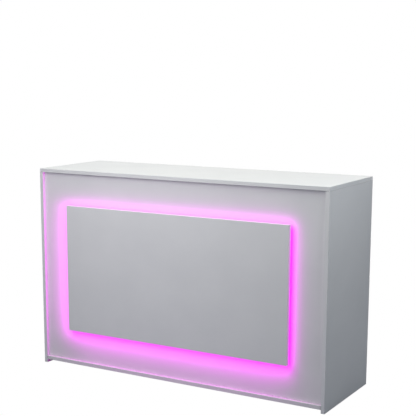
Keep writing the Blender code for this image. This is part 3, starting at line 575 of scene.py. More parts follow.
PEARL, MOULDED, METAL = grain_group(), moulded_group(), metal_group()
RUBBED, RECESS, CORNER, EDGE_SHADING = rubbed_group(), recess_group(), corner_group(), edge_shading_group()


def new_finish(name, **sockets):
    """A material and its main shader, whose plain values are set on its own sockets."""
    material = bpy.data.materials.new(name)
    material.use_nodes = True
    shader = material.node_tree.nodes["Principled BSDF"].inputs
    for key, value in sockets.items():
        feed(shader[key.replace("_", " ")], value)
    return material, material.node_tree, shader


def bumped(shader, height, strength, distance):
    bump = {"Height": height, "Strength": strength, "Distance": distance}
    feed(shader["Normal"], signal_of(height.tree, "Bump", bump))


def melamine(name, light=None, rub=0.8, painted_shade=None, edge=None):
    """White melamine face: a fine pearl texture, a faint broad tone, and arrises rubbed a little grey. Light,
    painted shade and edge, if given, make the strip's wash, the share of painted shade, and where an edge has
    its own tone of painted light and shade."""
    material, tree, shader = new_finish(name, Specular_IOR_Level=0.4)
    grain = place_group(tree, PEARL, Fine=1400.0, Broad=5.0)
    worn = place_group(tree, RUBBED, Patch=38.0, Even=0.6)["Mask"]
    tone = blended(mapped(grain["Broad"], 0, 1, *CLOUD_SPREAD), *BOARD_TONES)
    # Edge tone: painted light and shade on the sides' front edging, or a painted highlight on the light
    # panel's top edge.
    if edge:
        share, colour = edge(tree)
        tone = blended(share, tone, colour)
    tone = blended(worn * rub, tone, RUBBED_TONE)
    # Painted shade: the colour darkens where shade would fall, round the light panel and in the corners.
    if painted_shade:
        tone = blended(painted_shade(tree), tone, PAINTED_SHADE_COLOUR)
    feed(shader["Base Color"], tone)
    feed(shader["Roughness"], mapped(grain["Fine"], 0.40, 0.52, *SHEEN_SPREAD))
    bumped(shader, grain["Fine"], 0.12, 0.00006)
    if light:
        feed(shader["Emission Color"], light(tree))
        feed(shader["Emission Strength"], 1.0)
    return material


def side_edge(tree):
    """Where a side's front edging shows, and its tone of painted light and shade."""
    edging = place_group(tree, EDGE_SHADING, Front=LEFT_LOW[1] + SEAT, Top=UNDERTOP)
    return edging["Mask"], edging["Tone"]


def painted_top_light(tree):
    """Where the light panel's top edge shows, and its tone: painted lighter, a painted highlight for light
    from above.
    """
    return spot(tree)[2] > LIT_HIGH - SEAT, PANEL_TOP_PAINTED_LIGHT


def corner_shade(peak, reach):
    """Makes a share of painted shade that lies against the sides, by its reach from them."""
    def share(tree):
        return place_group(tree, CORNER, Across=spot(tree)[0], Side=INNER, Reach=reach, Peak=peak)["Share"]
    return share


def on_front(place, share):
    """A share kept to the front panel's front face."""
    return share * (place[1] < FRONT_FACE + SEAT)


def by_height(place, value, above):
    """A value that changes to another just below the light panel's top."""
    return mapped(place[2], value, above, LIT_HIGH - HEIGHT_BLEND, LIT_HIGH)


def panel_near(place, reach):
    """Nearness to the light panel: e to the minus distance beyond its rectangle, each side by its reach."""
    squares = []
    for axis, low, high, before, after in ((0, -LIT_X, LIT_X, "left", "right"),
                                           (2, LIT_LOW, LIT_HIGH, "bottom", "top")):
        ahead = calc("MAXIMUM", (low - place[axis]) / reach[before], (place[axis] - high) / reach[after])
        squares.append(calc("MAXIMUM", ahead, 0.0) ** 2)
    return power_of_e(sum(squares) ** 0.5 * -1)


def front_board_shade(tree):
    """Share of painted shade: a painted shadow most near the light panel, less of it above, and a little
    painted shade in the corners.
    """
    place = spot(tree)
    near = panel_near(place, SHADE_REACH) * by_height(place, SHADE_PEAK, SHADE_PEAK * SHADE_ABOVE)
    return on_front(place, near + corner_shade(*FRONT_CORNER_SHADE)(tree))


def strip_share(along, out, low, high):
    """How much of a strip from low to high a point sees: half the sum of the sines of the angles, across its
    distance out, to the strip's two ends."""
    width = out * GLOW_SPREAD + GLOW_START
    angles = [calc("ARCTANGENT", end / width) for end in (high - along, along - low)]
    return sum(calc("SINE", angle) for angle in angles) * 0.5


def front_wash(tree):
    """The strip's light on the front panel: four straight runs, each peak times e to the minus its distance
    by its own reach, less past its ends; a steep core, e to the minus the rounded sum of the distances, both
    up to a limit that is higher in the light panel's shade; and a bounce, low down, off the bottom panel."""
    place = spot(tree)
    wash, core = 0.0, 0.0
    for across, along, low, high, start, end, before, after in (
            (0, 2, -STRIP_X, STRIP_X, STRIP_LOW, STRIP_HIGH, "left", "right"),
            (2, 0, STRIP_LOW, STRIP_HIGH, -STRIP_X, STRIP_X, "bottom", "top")):
        outs = {before: low - place[across], after: place[across] - high}
        for side, out in outs.items():
            ahead = calc("MAXIMUM", out, 0.0)
            run = power_of_e(ahead / -GLOW_REACH[side]) * strip_share(place[along], ahead, start, end)
            wash = run * (out > 0.0) * GLOW_PEAK + wash
        far = calc("MAXIMUM", *(out / CORE_REACH[side] for side, out in outs.items()))
        core = calc("MAXIMUM", far, 0.0) ** CORE_POWER + core
    steep = power_of_e((1.0 - core ** (1 / CORE_POWER)) / CORE_WIDTH)
    shaded = panel_near(place, GLOW_SHADED_REACH) * GLOW_SHADED
    limit = shaded + by_height(place, GLOW_LIMIT, GLOW_LIMIT_ABOVE)
    share = calc("MINIMUM", steep * CORE_RISE + wash, limit)
    centre, half, power = BOUNCE_SPAN
    bounce = power_of_e((FLOOR_HIGH[2] - place[2]) / BOUNCE_REACH)
    bounce = bounce / ((abs(place[0] - centre) / half) ** power + 1.0)
    return glow(on_front(place, bounce * BOUNCE_RISE + share))


def recess_wash(along, across, face, wash, axis=2, lowest=0.0):
    """Makes a wash on a narrow face: it varies along one axis, on the face at this place across, and goes no
    lower than a bound on an axis."""
    def light(tree):
        place = spot(tree)
        depth = calc("MAXIMUM", place[1] - FRONT_FACE, lowest - place[axis])
        return place_group(tree, RECESS, Along=place[along], Lift=place[across] - face, Depth=depth,
                           **wash._asdict())["Glow"]
    return light


def foot_wash(tree):
    """The glow on the left side's foot, under the bottom panel: it fades from the front edge backwards."""
    place = spot(tree)
    wash = Wash(LEFT_LOW[1], FOOT_REACH, FOOT_POWER, FOOT_RISE)
    return place_group(tree, RECESS, Along=place[1], Lift=place[0] + INNER, Depth=place[2] - FLOOR_LOW[2],
                       **wash._asdict())["Glow"]


def both(one, other):
    """Makes two washes on one board, added up."""
    def light(tree):
        return signal_of(tree, "VectorMath", {0: one(tree), 1: other(tree)}, operation="ADD")
    return light


def fibreboard():
    """Raw fibreboard: felted fibres, drawn out along the board, over a broad change of tone."""
    material, tree, shader = new_finish("batten_fibre", Specular_IOR_Level=0.2)
    drawn = signal_of(tree, "Mapping", {"Vector": here(tree), "Scale": (90.0, 900.0, 240.0)})
    fibres, broad = noise(tree, 1.0, 6.0, drawn), noise(tree, 24.0, 3.0)
    tone = blended(mapped(fibres, 0, 1, *SHEEN_SPREAD), (0.30, 0.215, 0.135, 1), (0.52, 0.41, 0.28, 1))
    feed(shader["Base Color"], blended(mapped(broad, 0, 0.5, 0.4, 0.7), tone, (0.40, 0.31, 0.21, 1)))
    feed(shader["Roughness"], mapped(fibres, 0.68, 0.88))
    bumped(shader, fibres, 0.4, 0.0002)
    return material


def strip_film():
    """The strip: a white film, and lamps whose marked lenses shine magenta; the film itself glows faintly
    magenta, painted light for the lamps' light on it.
    """
    material, tree, shader = new_finish("strip_film", Emission_Strength=1.2, Coat_Weight=0.3)
    grain = place_group(tree, PEARL, Fine=700.0, Broad=60.0)
    feed(shader["Base Color"], blended(grain["Broad"], (0.74, 0.70, 0.74, 1), (0.86, 0.83, 0.86, 1)))
    feed(shader["Roughness"], mapped(grain["Fine"], 0.25, 0.4))
    # The unmarked film glows faintly magenta: painted light for the lamps' light on it.
    feed(shader["Emission Color"], blended(marked(tree), (0.16, 0.002, 0.16, 1), GLOW_COLOUR))
    bumped(shader, grain["Fine"], 0.1, 0.00004)
    return material


def skinned(name, group, bump, dark, light, rough, scale, strength, paint=None, **sockets):
    """A material with a skin: its sheen sets tone and roughness and its height the bump. Paint, if given,
    covers what is marked."""
    material, tree, shader = new_finish(name, **sockets)
    skin = place_group(tree, group, Scale=scale)
    tone = blended(mapped(skin["Sheen"], 0, 1, *CLOUD_SPREAD), (*dark, 1), (*light, 1))
    if paint:
        tone = blended(marked(tree), tone, paint)
    feed(shader["Base Color"], tone)
    feed(shader["Roughness"], mapped(skin["Sheen"], *rough, *SHEEN_SPREAD))
    bumped(shader, skin["Height"], strength, bump)
    return material


def metal(name, *look):
    """A bare or plated metal with a mottled skin."""
    return skinned(name, METAL, 0.00008, *look, Metallic=1.0)


def moulding(name, *look):
    """A moulded plastic with a spark-eroded skin."""
    return skinned(name, MOULDED, 0.00012, *look)


# Places read from the frame

TOP_LOW, TOP_HIGH = span("worktop")
LEFT_LOW, LEFT_HIGH = span("side_panel_left")
RIGHT_LOW, RIGHT_HIGH = span("side_panel_right")
FLOOR_LOW, FLOOR_HIGH = span("bottom_panel")
FRONT_LOW, FRONT_HIGH = span("front_panel")
DIVIDER_LOW, DIVIDER_HIGH = span("centre_divider")
UNDERTOP = TOP_LOW[2]
INNER = RIGHT_LOW[0]
INFILL = INNER - SEAT
INFILL_LOW, INFILL_HIGH = FLOOR_HIGH[2] + SEAT, UNDERTOP - SEAT
FRONT_FACE, FRONT_BACK = FRONT_LOW[1], FRONT_HIGH[1]
LIT_X = span("light_panel")[1][0]
LIT_LOW, LIT_HIGH = span("light_panel")[0][2], span("light_panel")[1][2]
STRIP_X = span("batten_bottom")[1][0]
STRIP_LOW, STRIP_HIGH = span("batten_bottom")[0][2], span("batten_top")[1][2]
STRIP_Y = middle_of("batten_top")[1]
STRIP_START = STRIP_X - STRIP_BEND - STRIP_END
STRIP_FINISH = STRIP_HIGH - STRIP_BEND - STRIP_END
CASE_LOW, CASE_HIGH = span("led_controller")
DRIVER_LOW, DRIVER_HIGH = span("led_driver")
GROMMET = middle_of("cable_grommet")
ELECTRICS_Y = middle_of("led_controller")[1]
LEAD_Z = UNDERTOP - LEAD_DROP

PLAIN_BOARD = melamine("melamine_plain")
# Front board: the strip's glow, and painted shade round the light panel and in its corners.
FRONT_BOARD = melamine("melamine_front", front_wash, painted_shade=front_board_shade)
# Left side: the strip's glow, and painted light and shade on its front edging.
LEFT_BOARD = melamine("melamine_left", both(
    recess_wash(2, 0, -INNER, LEFT_WASH, 2, FLOOR_HIGH[2] - SEAT), foot_wash), edge=side_edge)
# Right side: painted light and shade on its front edging.
RIGHT_BOARD = melamine("melamine_right", edge=side_edge)
# Bottom board: the strip's glow, and painted shade at its ends against the sides.
FLOOR_BOARD = melamine("melamine_floor", both(
    recess_wash(0, 2, FLOOR_HIGH[2], FLOOR_TOP_WASH, 1, FLOOR_LOW[1] + FLOOR_TOP_FROM),
    recess_wash(0, 1, FLOOR_LOW[1], FLOOR_EDGE_WASH)), painted_shade=corner_shade(*FLOOR_CORNER_SHADE))
# Light panel: the strip's glow on its right edge, and a painted highlight on its top edge.
LIT_BOARD = melamine("melamine_lit", recess_wash(2, 0, LIT_X, LIT_WASH), rub=0.2, edge=painted_top_light)
BATTEN_FIBRE = fibreboard()
STRIP_FILM = strip_film()
ZINC = metal("zinc_cast", (0.42, 0.43, 0.45), (0.60, 0.61, 0.63), (0.34, 0.50), 900.0, 0.35)
NICKEL = metal("nickel_plate", (0.60, 0.585, 0.55), (0.74, 0.73, 0.70), (0.16, 0.30), 1500.0, 0.10)
DARK_MOULDING = moulding("dark_moulding", (0.022, 0.022, 0.025), (0.040, 0.040, 0.044), (0.42, 0.56),
                         1500.0, 0.5)
PALE_MOULDING = moulding("pale_moulding", (0.72, 0.72, 0.70), (0.79, 0.79, 0.78), (0.38, 0.50), 1800.0, 0.35)
KEY_RUBBER = moulding("key_rubber", (0.12, 0.12, 0.13), (0.17, 0.17, 0.18), (0.55, 0.70), 2600.0, 0.25,
                      (0.80, 0.80, 0.80, 1))
LEAD_SKIN = moulding("lead_skin", (0.68, 0.68, 0.67), (0.76, 0.76, 0.75), (0.40, 0.55), 700.0, 0.15)
GLIDE_NYLON = moulding("glide_nylon", (0.09, 0.09, 0.09), (0.14, 0.14, 0.14), (0.50, 0.65), 1200.0, 0.4)


# Boards

def rod(mouth, way, radius, depth, sides=BORE_SIDES):
    """A round cutter that starts a little outside its mouth."""
    return turned([(radius, -SEAT), (radius, depth)], mouth, way, sides)


def shelf_bores(x, way, side):
    """Columns of shelf holes, on the rows and the height of the pins that carry the shelf."""
    bores = []
    for row in ROWS:
        low, high = span(f"shelf_pin_{side}_{row}")
        for z in high[2] - PEG_RADIUS + HOLE_STEPS * HOLE_PITCH:
            bores.append(rod((x, (low[1] + high[1]) / 2, z), way, HOLE_RADIUS, HOLE_DEPTH, 24))
    return bores


def put_board(name, node, finish, low, high, bores=()):
    """A board that stands for a frame node, with its bores cut out of it."""
    solid = [board(low, high)]
    put(name, cut(name, solid, bores) if bores else solid, finish, "white_melamine", node)


def make_boards():
    """Every board of the counter, bored for its fittings."""
    put_board("worktop_board", "worktop", PLAIN_BOARD, TOP_LOW, TOP_HIGH)
    for side, low, high, inner, way, finish in (("left", LEFT_LOW, LEFT_HIGH, -INNER, -X, LEFT_BOARD),
                                                ("right", RIGHT_LOW, RIGHT_HIGH, INNER, X, RIGHT_BOARD)):
        bores = shelf_bores(inner, way, f"{side}_outer")
        for row in ROWS:
            cam, glide = middle_of(f"cam_top_{side}_{row}"), middle_of(f"glide_{side}_{row}")
            bores.append(rod((inner, *cam[1:]), way, CAM_BORE_RADIUS, CAM_BORE_DEPTH))
            bores.append(rod((*glide[:2], low[2]), Z, GLIDE_BORE_RADIUS, GLIDE_LET))
        put_board(f"side_board_{side}", f"side_panel_{side}", finish, low, (*high[:2], INFILL_HIGH), bores)
        put_board(f"shelf_board_{side}", f"shelf_{side}", PLAIN_BOARD, *span(f"shelf_{side}"))
    cams = [middle_of(f"cam_floor_{side}_{row}") for side in SIDES for row in ROWS]
    bores = [rod((*cam[:2], FLOOR_LOW[2]), Z, CAM_BORE_RADIUS, CAM_BORE_DEPTH) for cam in cams]
    put_board("bottom_board", "bottom_panel", FLOOR_BOARD, (-INFILL, *FLOOR_LOW[1:]),
              (INFILL, *FLOOR_HIGH[1:]), bores)
    through = FRONT_BACK - FRONT_FACE + SEAT
    lead_hole = rod((GROMMET[0], FRONT_BACK, GROMMET[2]), -Y, LEAD_HOLE_RADIUS, through)
    put_board("front_board", "front_panel", FRONT_BOARD, (-INFILL, FRONT_FACE, INFILL_LOW),
              (INFILL, FRONT_BACK, INFILL_HIGH), [lead_hole])
    bores = shelf_bores(DIVIDER_LOW[0], X, "left_inner") + shelf_bores(DIVIDER_HIGH[0], -X, "right_inner")
    put_board("divider_board", "centre_divider", PLAIN_BOARD, (*DIVIDER_LOW[:2], INFILL_LOW),
              (*DIVIDER_HIGH[:2], INFILL_HIGH), bores)
    put_board("light_board", "light_panel", LIT_BOARD, *span("light_panel"))


make_boards()
for node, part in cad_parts.items():
    if node.startswith("batten"):
        part.data.materials[0] = BATTEN_FIBRE
    elif node.startswith("cam_bolt"):
        part.data.materials[0] = ZINC


# Light strip

def strip_line(offset):
    """The strip's path at this distance from the battens, from the top right leftwards and round to it."""
    x, low, high = STRIP_X + offset, STRIP_LOW - offset, STRIP_HIGH + offset
    corners = [(STRIP_START, high), (-x, high), (-x, low), (x, low), (x, STRIP_FINISH)]
    line = eased_line(corners, STRIP_BEND + offset)
    return np.stack((line[:, 0], np.full(len(line), STRIP_Y), line[:, 1]), -1)


def lamp_row(start, finish, outward):
    """Places and directions of evenly spaced lamps, centred on a straight run of the strip."""
    start, finish = arrays(start, finish)
    length = np.linalg.norm(finish - start)
    along = (finish - start) / length
    count = int((length - 2 * LAMP_HALF) / LAMP_PITCH)
    steps = (np.arange(count + 1) - count / 2) * LAMP_PITCH
    places = (start + finish) / 2 + steps[:, None] * along
    return places, np.broadcast_to(np.stack((along, np.cross(outward, along), outward)), (count + 1, 3, 3))


def make_strip():
    """A round-edged film wound round the battens, with lamps: a square cup, and a lens sunk into its rim."""
    middle = SEAT + STRIP_THICKNESS / 2
    section = rounded_outline(STRIP_THICKNESS / 2, STRIP_HALF_WIDTH, STRIP_ROUND, 3)
    film = swept(strip_line(middle), section, Y)
    half = (STRIP_THICKNESS / 2 + LAMP_HEIGHT) / 2
    cup = [(0, -half), *(mm((0, -0.2), (0.2, 0), (0.5, 0), (0.7, -0.3)) + (0, half))]
    lamp = slab((-LAMP_HALF, -LAMP_HALF, 0), (LAMP_HALF, LAMP_HALF, 2 * half), 2, cup, LAMP_CORNER, 2,
                np.array([0, 0, 0, 0, 1.0]))
    x, low, high = STRIP_X + middle, STRIP_LOW - middle, STRIP_HIGH + middle
    bend_x, bend_low, bend_high = STRIP_X - STRIP_BEND, STRIP_LOW + STRIP_BEND, STRIP_HIGH - STRIP_BEND
    rows = [lamp_row((-bend_x, STRIP_Y, high), (STRIP_START, STRIP_Y, high), Z),
            lamp_row((-bend_x, STRIP_Y, low), (bend_x, STRIP_Y, low), -Z),
            lamp_row((-x, STRIP_Y, bend_low), (-x, STRIP_Y, bend_high), -X),
            lamp_row((x, STRIP_Y, bend_low), (x, STRIP_Y, STRIP_FINISH), X)]
    lamps = [repeated(lamp, places, ways) for places, ways in rows]
    put("light_strip", [film, *lamps], STRIP_FILM, "led_strip", "led_strip")


# Fittings

def make_pin(node, face, way):
    """A shelf support: a grooved peg in the board, a flange against it, a rounded plate and a rib below."""
    low, high = span(node)
    y, top = (low[1] + high[1]) / 2, high[2]

    def block(near, far, height, radius, corner, thin):
        first, last = sorted((face + way * near, face + way * far))
        low, high = (first, y - SUPPORT_HALF_WIDTH, top - height), (last, y + SUPPORT_HALF_WIDTH, top)
        return rounded_block(low, high, thin, radius, corner)

    flange = block(SEAT, SEAT + 0.0016, 0.009, 0.0004, 0.0015, 0)
    plate = block(SEAT + 0.0006, SEAT + 0.010, 0.0022, 0.0005, 0.0018, 2)
    grooved = np.array([(1, 1.2), (1, -1.8), (0.9, -2.1), (0.9, -2.6), (1, -2.9), (1, -4.2), (0.9, -4.5),
                        (0.9, -5.0), (0.97, -5.3), (0.9, -5.9), (0.6, -6.2)]) * (PEG_RADIUS, MM)
    peg = turned(grooved, (face, y, top - PEG_RADIUS), way * X, 24)
    out, down = mm((1.5, 8.5), (1.5, 1.5), (8, 1.5)).T
    corners = np.stack((face + way * out, np.full(3, y), top - down), -1)
    rib = stacked(np.stack((corners - RIB_HALF * Y, corners + RIB_HALF * Y)))
    put(f"support_{node[10:]}", [flange, plate, peg, rib], NICKEL, "nickel_pin", node)


def make_fittings():
    """Shelf supports, the cams that draw the boards together, the glides and the feet."""
    glide = mm((3.6, 0), (4.7, 0.2), (5.5, 0.7), (6, 1.6), (6, 3.6), (5.7, 4), (3, 4), (1.2, 4.1), (1.2, 19),
               (0.4, 19.7))
    foot = mm((13, 0), (14.3, 0.4), (15, 1.3), (15, 5.2), (14.6, 5.7), (14.6, 6.5), (15, 7), (15, 12.2),
              (15.4, 13.1), (18.8, 13.6), (19.8, 14.1), (20, 14.7), (20, 16.2), (19.6, 16.7))
    rim = CAM_RADIUS - CAM_CHAMFER
    cam_body = [(rim, -CAM_HEIGHT), (CAM_RADIUS, CAM_CHAMFER - CAM_HEIGHT), (CAM_RADIUS, -CAM_CHAMFER)]
    for side, sign in zip(SIDES, (-1, 1)):
        for row in ROWS:
            make_pin(f"shelf_pin_{side}_outer_{row}", sign * INNER, -sign)
            make_pin(f"shelf_pin_{side}_inner_{row}", sign * DIVIDER_HIGH[0], sign)
            for level, face, way in (("top", sign * INNER, -sign * X), ("floor", FLOOR_LOW[2], -Z)):
                node = f"cam_{level}_{side}_{row}"
                mouth = middle_of(node)
                mouth[np.argmax(np.abs(way))] = face
                head = driven_head(mouth, way, rim, 0, 0, cam_body, CAM_DRIVE)
                put(f"draw_{node}", [head], ZINC, "zinc_fitting", node)
            node = f"glide_{side}_{row}"
            nail = turned(glide, (*middle_of(node)[:2], 0), Z)
            put(f"nail_{node}", [nail], GLIDE_NYLON, "glide_plastic", node)
    for row in ROWS:
        node = f"centre_foot_{row}"
        stand = turned(foot, (*middle_of(node)[:2], 0), Z, 40)
        put(f"turned_foot_{row}", [stand], GLIDE_NYLON, "glide_plastic", node)


# Electrics

def grooved_case(low, high, end_round, corner, grooves, width, dip):
    """A long case: its rounded outline runs along the first axis, drawn in by the dip at each groove."""
    half = (high - low)[0] / 2
    end = quarter_round(end_round, -half)
    places = np.asarray(grooves, float)[:, None] + np.array((-0.65, -0.5, 0.5, 0.65)) * width
    dips = np.broadcast_to(np.array((0, dip, dip, 0)), places.shape)
    body = np.stack((dips.ravel(), places.ravel()), -1)
    return slab(low, high, 0, np.concatenate((end, body, (end * (1, -1))[::-1])), corner)


def make_controller():
    """A pale case with an end seam, three countersunk key holes with pockets, and a dished key in each."""
    seam = (CASE_HIGH - CASE_LOW)[0] / 2 - CASE_SEAM
    solid = grooved_case(CASE_LOW, CASE_HIGH, 0.0018, 0.0030, [-seam, seam], 0.0006, 0.0004)
    hole = mm((5, 0.5), (5, 0), (4.3, -0.6), (4.3, -2), (5.3, -2), (5.3, -4.5))
    cap = mm((5, -3.3), (5, -2.3), (4, -2.3), (4, 1), (3.85, 1.5), (3.5, 1.9), (3.1, 2), (2.6, 1.8),
             (1.6, 1.5), (0.9, 1.4), (0.8, 1.6), (0.5, 1.7))
    dot = np.array([0.0] * 10 + [1.0] * 2)
    holes = []
    for key in ("power", "colour", "mode"):
        node = f"key_{key}"
        place = middle_of(node)
        place[1] = CASE_HIGH[1]
        holes.append(turned(hole, place, Y))
        push = turned(cap, place, Y, 40, mark=dot)
        put(f"push_{node}", [push], KEY_RUBBER, "key_rubber", node, body=f"{key}_key")
    put("controller_case", cut("controller", [solid], holes), PALE_MOULDING, "pale_case", "led_controller")


def make_driver():
    """A dark ribbed case with a two-pin inlet in its end, screw lugs, and pan-head screws through them."""
    low, high = DRIVER_LOW + LUG * X, DRIVER_HIGH - LUG * X
    end = (high - low)[0] / 2 - DRIVER_END_RIB
    middle = np.arange(-DRIVER_RIBS_EACH_WAY, DRIVER_RIBS_EACH_WAY + 1) * DRIVER_RIB_PITCH
    solid = grooved_case(low, high, 0.0028, 0.0040, [-end, *middle, end], 0.0020, 0.0008)
    lug_low = high[2] - LUG_THICKNESS
    mouth = np.array((low[0], ELECTRICS_Y, (lug_low + low[2]) / 2))
    half = (INLET_MOUTH + INLET_DEPTH) / 2
    inlet = slab(mouth - INLET_HALF - INLET_MOUTH * X, mouth + INLET_HALF + INLET_DEPTH * X, 0,
                 [(0, -half), (0, half)], INLET_CORNER, 6)
    put("driver_case", cut("driver", [solid], [inlet]), DARK_MOULDING, "dark_case", "led_driver")
    pin = mm((1.2, 0), (1.2, 8.2), (1, 8.8), (0.6, 9))
    pins = [turned(pin, mouth + (INLET_DEPTH, side * INLET_PIN_OFF, 0), -X, 20) for side in (-1, 1)]
    put("inlet_pins", pins, NICKEL, "nickel_pin")
    near, far = ELECTRICS_Y - LUG_HALF_WIDTH, ELECTRICS_Y + LUG_HALF_WIDTH
    lugs = [rounded_block((a, near, lug_low), (b, far, high[2]), 2, 0.0006, 0.0050)
            for a, b in ((DRIVER_LOW[0], low[0] + LUG_LAP), (high[0] - LUG_LAP, DRIVER_HIGH[0]))]
    put("driver_lugs", lugs, DARK_MOULDING, "dark_case")
    shank = mm((0.6, -15.2), (1.7, -13), (1.7, 0), (3.4, 0), (3.6, 0.2), (3.6, 1.1), (3.4, 1.6))
    for side in SIDES:
        node = f"driver_screw_{side}"
        place = (*middle_of(node)[:2], lug_low - SEAT)
        screw = driven_head(place, -Z, *SCREW_HEAD, shank, SCREW_DRIVE)
        put(f"pan_{node}", [screw], ZINC, "zinc_fitting", node)


def saddle(half_length, low, high, hole, radius, corner, arris):
    """A block with a round hole along its first axis: its rounded outline, drawn in at both ends, joined in a
    loop to the hole's circle, whose points lie at the outline's own angles."""
    low, high = arrays(low, high)
    half = (high - low) / 2
    inset = np.array((arris, 0, 0, arris))[:, None]
    reach = np.array((-1, arris / half_length - 1, 1 - arris / half_length, 1, 1, -1)) * half_length
    outer = rounded_outline(half[0] - inset, half[1] - inset, corner - inset, 5) + (low + high) / 2
    circle = hole + radius * unit(outer[1] - hole)
    flat = np.concatenate((outer, [circle, circle]))
    return looped(np.concatenate((np.broadcast_to(reach[:, None, None], (*flat.shape[:2], 1)), flat), -1))


def first_face(low, high, way):
    """Where a box's face lies, along way's axis, that looks back against way."""
    return np.where(way > 0, low, high) @ np.abs(way) * np.abs(way)


def make_clips():
    """Lead clips: a rounded saddle round the lead, with a boss beside it for a round-headed nail."""
    boss = [(3.2 * MM, SEAT), *mm((3.4, 1), (3, 9), (3, 12.7), (2.6, 13.2), (1.8, 13.3))]
    nail = mm((1.8, 13), (1.8, 13.7), (1.4, 14.1), (0.8, 14.3))
    beside = np.array((0, CLIP_OUTER + CLIP_FOOT / 2 - CLIP_LAP, 0))
    hold = saddle(CLIP_HALF_LENGTH, (-CLIP_OUTER, SEAT), (CLIP_OUTER, LEAD_DROP + CLIP_OUTER),
                  np.array((0, LEAD_DROP)), LEAD_RADIUS + SEAT, CLIP_CORNER, ARRIS)
    nails = []
    for name, along, away in (("supply", X, -Z), ("run", Y, -Z), ("drop", Z, Y)):
        node = f"cable_clip_{name}"
        aside = np.cross(away, along)
        place = (middle_of(node) @ along) * along + CLIP_OUTER * aside - SEAT * away
        place = place + first_face(*span(node), aside) + first_face(*span(node), away)
        way = np.stack((along, aside, away))[None]
        parts = [repeated(part, place[None], way) for part in (hold, turned(boss, beside, Z, 28))]
        nails.append(repeated(turned(nail, beside, Z, 24), place[None], way))
        put(f"lead_clip_{name}", parts, PALE_MOULDING, "pale_case", node)
    put("clip_nails", nails, ZINC, "zinc_fitting")


def make_leads():
    """Round leads on their clipped routes, ribbed sleeves where they leave a case, and a grommet."""
    drop = FRONT_BACK + LEAD_DROP
    start = np.array((CASE_HIGH[0] + SEAT, ELECTRICS_Y, LEAD_Z))
    gx, gz = GROMMET[0], GROMMET[2]
    route = [start, (gx, ELECTRICS_Y, LEAD_Z), (gx, drop, LEAD_Z), (gx, drop, gz), (gx, STRIP_Y, gz),
             (STRIP_START + SEAT, STRIP_Y, STRIP_HIGH + SEAT + LEAD_RADIUS)]
    supply = np.linspace((DRIVER_HIGH[0] - LUG + SEAT, ELECTRICS_Y, LEAD_Z),
                         (CASE_LOW[0] - SEAT, ELECTRICS_Y, LEAD_Z), 8)
    for node, path in (("strip_lead", eased_line(route, LEAD_BENDS)), ("supply_lead", supply)):
        lead = swept(path, round_section(LEAD_RADIUS), (1, 1, 1))
        put(f"round_{node}", [lead], LEAD_SKIN, "lead_pvc", node)
    sleeve = mm((3.6, 0), (3.6, 1.2), (3.1, 1.7), (3.3, 2.6), (2.8, 3.1), (3.1, 4.1), (2.6, 4.6), (2.9, 5.6),
                (2.5, 6.1), (2.7, 8.0), (2.3, 8.8))
    ends = ((start, X), (supply[0], X), (supply[-1], -X))
    put("lead_sleeves", [turned(sleeve, place, way, 28) for place, way in ends], KEY_RUBBER, "key_rubber")
    flange, bore, through = SEAT + GROMMET_FLANGE, LEAD_RADIUS + SEAT, FRONT_FACE - FRONT_BACK
    rim = mm((-1, 0), (-0.3, -0.3), (0, -0.8)) + (GROMMET_RIM, flange)
    ring = [(bore + 0.0004, flange), *rim, (GROMMET_RIM, SEAT), (GROMMET_BODY, SEAT), (GROMMET_BODY, through),
            (bore, through), (bore, flange - 0.0004)]
    grommet = turned(ring, (gx, FRONT_BACK, gz), Y, 36, looped)
    put("lead_grommet", [grommet], KEY_RUBBER, "key_rubber", "cable_grommet")


make_strip()
make_fittings()
make_controller()
make_driver()
make_clips()
make_leads()


# Stage, light and camera

def paper_white(owner, kind, inputs, shown, output):
    """Gives a floor or a world one shader for its light, and plain white for the camera to see."""
    owner.use_nodes = True
    tree = owner.node_tree
    tree.nodes.clear()
    lit = signal_of(tree, kind, inputs)
    white = signal_of(tree, shown, {"Color": (1, 1, 1, 1), "Strength": 1.0})
    seen = signal_of(tree, "LightPath", out="Is Camera Ray")
    add_node(tree, output, {"Surface": signal_of(tree, "MixShader", {0: seen, 1: lit, 2: white})})


def make_floor(reach=14.0):
    """A pale floor that the camera sees as plain white paper."""
    mesh = bpy.data.meshes.new("studio_floor")
    corners = [(-reach, -reach, 0), (reach, -reach, 0), (reach, reach, 0), (-reach, reach, 0)]
    mesh.from_pydata(corners, [], [(0, 1, 2, 3)])
    paper = bpy.data.materials.new("studio_paper")
    paper_white(paper, "BsdfDiffuse", {"Color": (0.278, 0.297, 0.338, 1)}, "Emission", "OutputMaterial")
    mesh.materials.append(paper)
    in_scene("studio_floor", mesh)


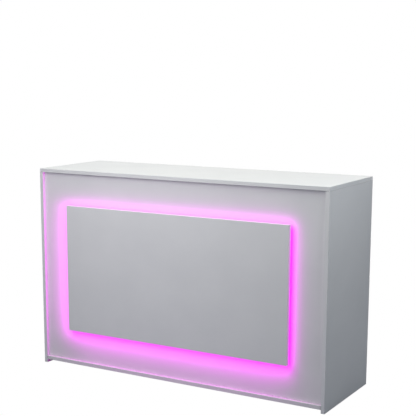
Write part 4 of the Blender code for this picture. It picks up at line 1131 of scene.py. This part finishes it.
def make_world():
    """Even studio light from all round, seen by the camera as white."""
    world = bpy.data.worlds.new("studio")
    bpy.context.scene.world = world
    paper_white(world, "Background", {"Color": (0.95, 1.0, 1.06, 1), "Strength": 0.10}, "Background",
                "OutputWorld")


def soft_light(name, place, aim, size, power, colour=(1, 1, 1)):
    """A square soft box at a place, turned to an aim."""
    lamp = bpy.data.lights.new(name, "AREA")
    lamp.size, lamp.energy, lamp.color = size, power, colour
    light = in_scene(name, lamp)
    light.location = place
    light.rotation_euler = (Vector(aim) - Vector(place)).to_track_quat("-Z", "Y").to_euler()


def make_camera():
    """A camera at the photograph's place, lens and shift, for a square frame."""
    lens = bpy.data.cameras.new("photo_camera")
    lens.sensor_width = 36.0
    lens.lens = 86.311
    lens.shift_x, lens.shift_y = 0.0433, 0.1010
    camera = in_scene("photo_camera", lens)
    camera.location = (2.1705, -3.6969, 1.3397)
    camera.rotation_euler = (radians(79.689), 0.0, radians(30.937))
    bpy.context.scene.camera = camera


make_floor()
make_world()
FRONT_AIM = (0, -0.2, 0.5)
soft_light("over_left_box", (-0.9, 0.3, 2.0), (-0.9, 0.3, 0), 0.8, 6.3, (0.994, 1.0, 1.013))
soft_light("over_right_box", (0.3, 0.6, 2.4), (0.3, 0.6, 0), 1.2, 13.35, (1.048, 1.0, 0.985))
soft_light("front_high_box", (0, -1.0, 2.6), FRONT_AIM, 1.6, 19.29, (0.927, 1.0, 0.895))
soft_light("front_left_box", (-0.4, -1.5, 1.6), FRONT_AIM, 1.0, 6.59, (1.045, 1.0, 1.055))
soft_light("front_low_box", (-0.3, -1.6, 1.3), FRONT_AIM, 1.0, 5.57, (1.049, 1.0, 1.118))
soft_light("right_box", (1.5, -0.2, 1.5), (0.6, 0, 0.5), 1.0, 7.73, (0.963, 1.0, 1.044))
soft_light("staff_side_box", (0.3, 2.4, 0.44), (0, 0.2, 0.44), 0.86, 34.0)
soft_light("left_box", (-2.2, 0.35, 0.44), (-0.7, 0.35, 0.44), 0.86, 12.0)
make_camera()
bpy.context.scene.view_settings.view_transform = "Standard"
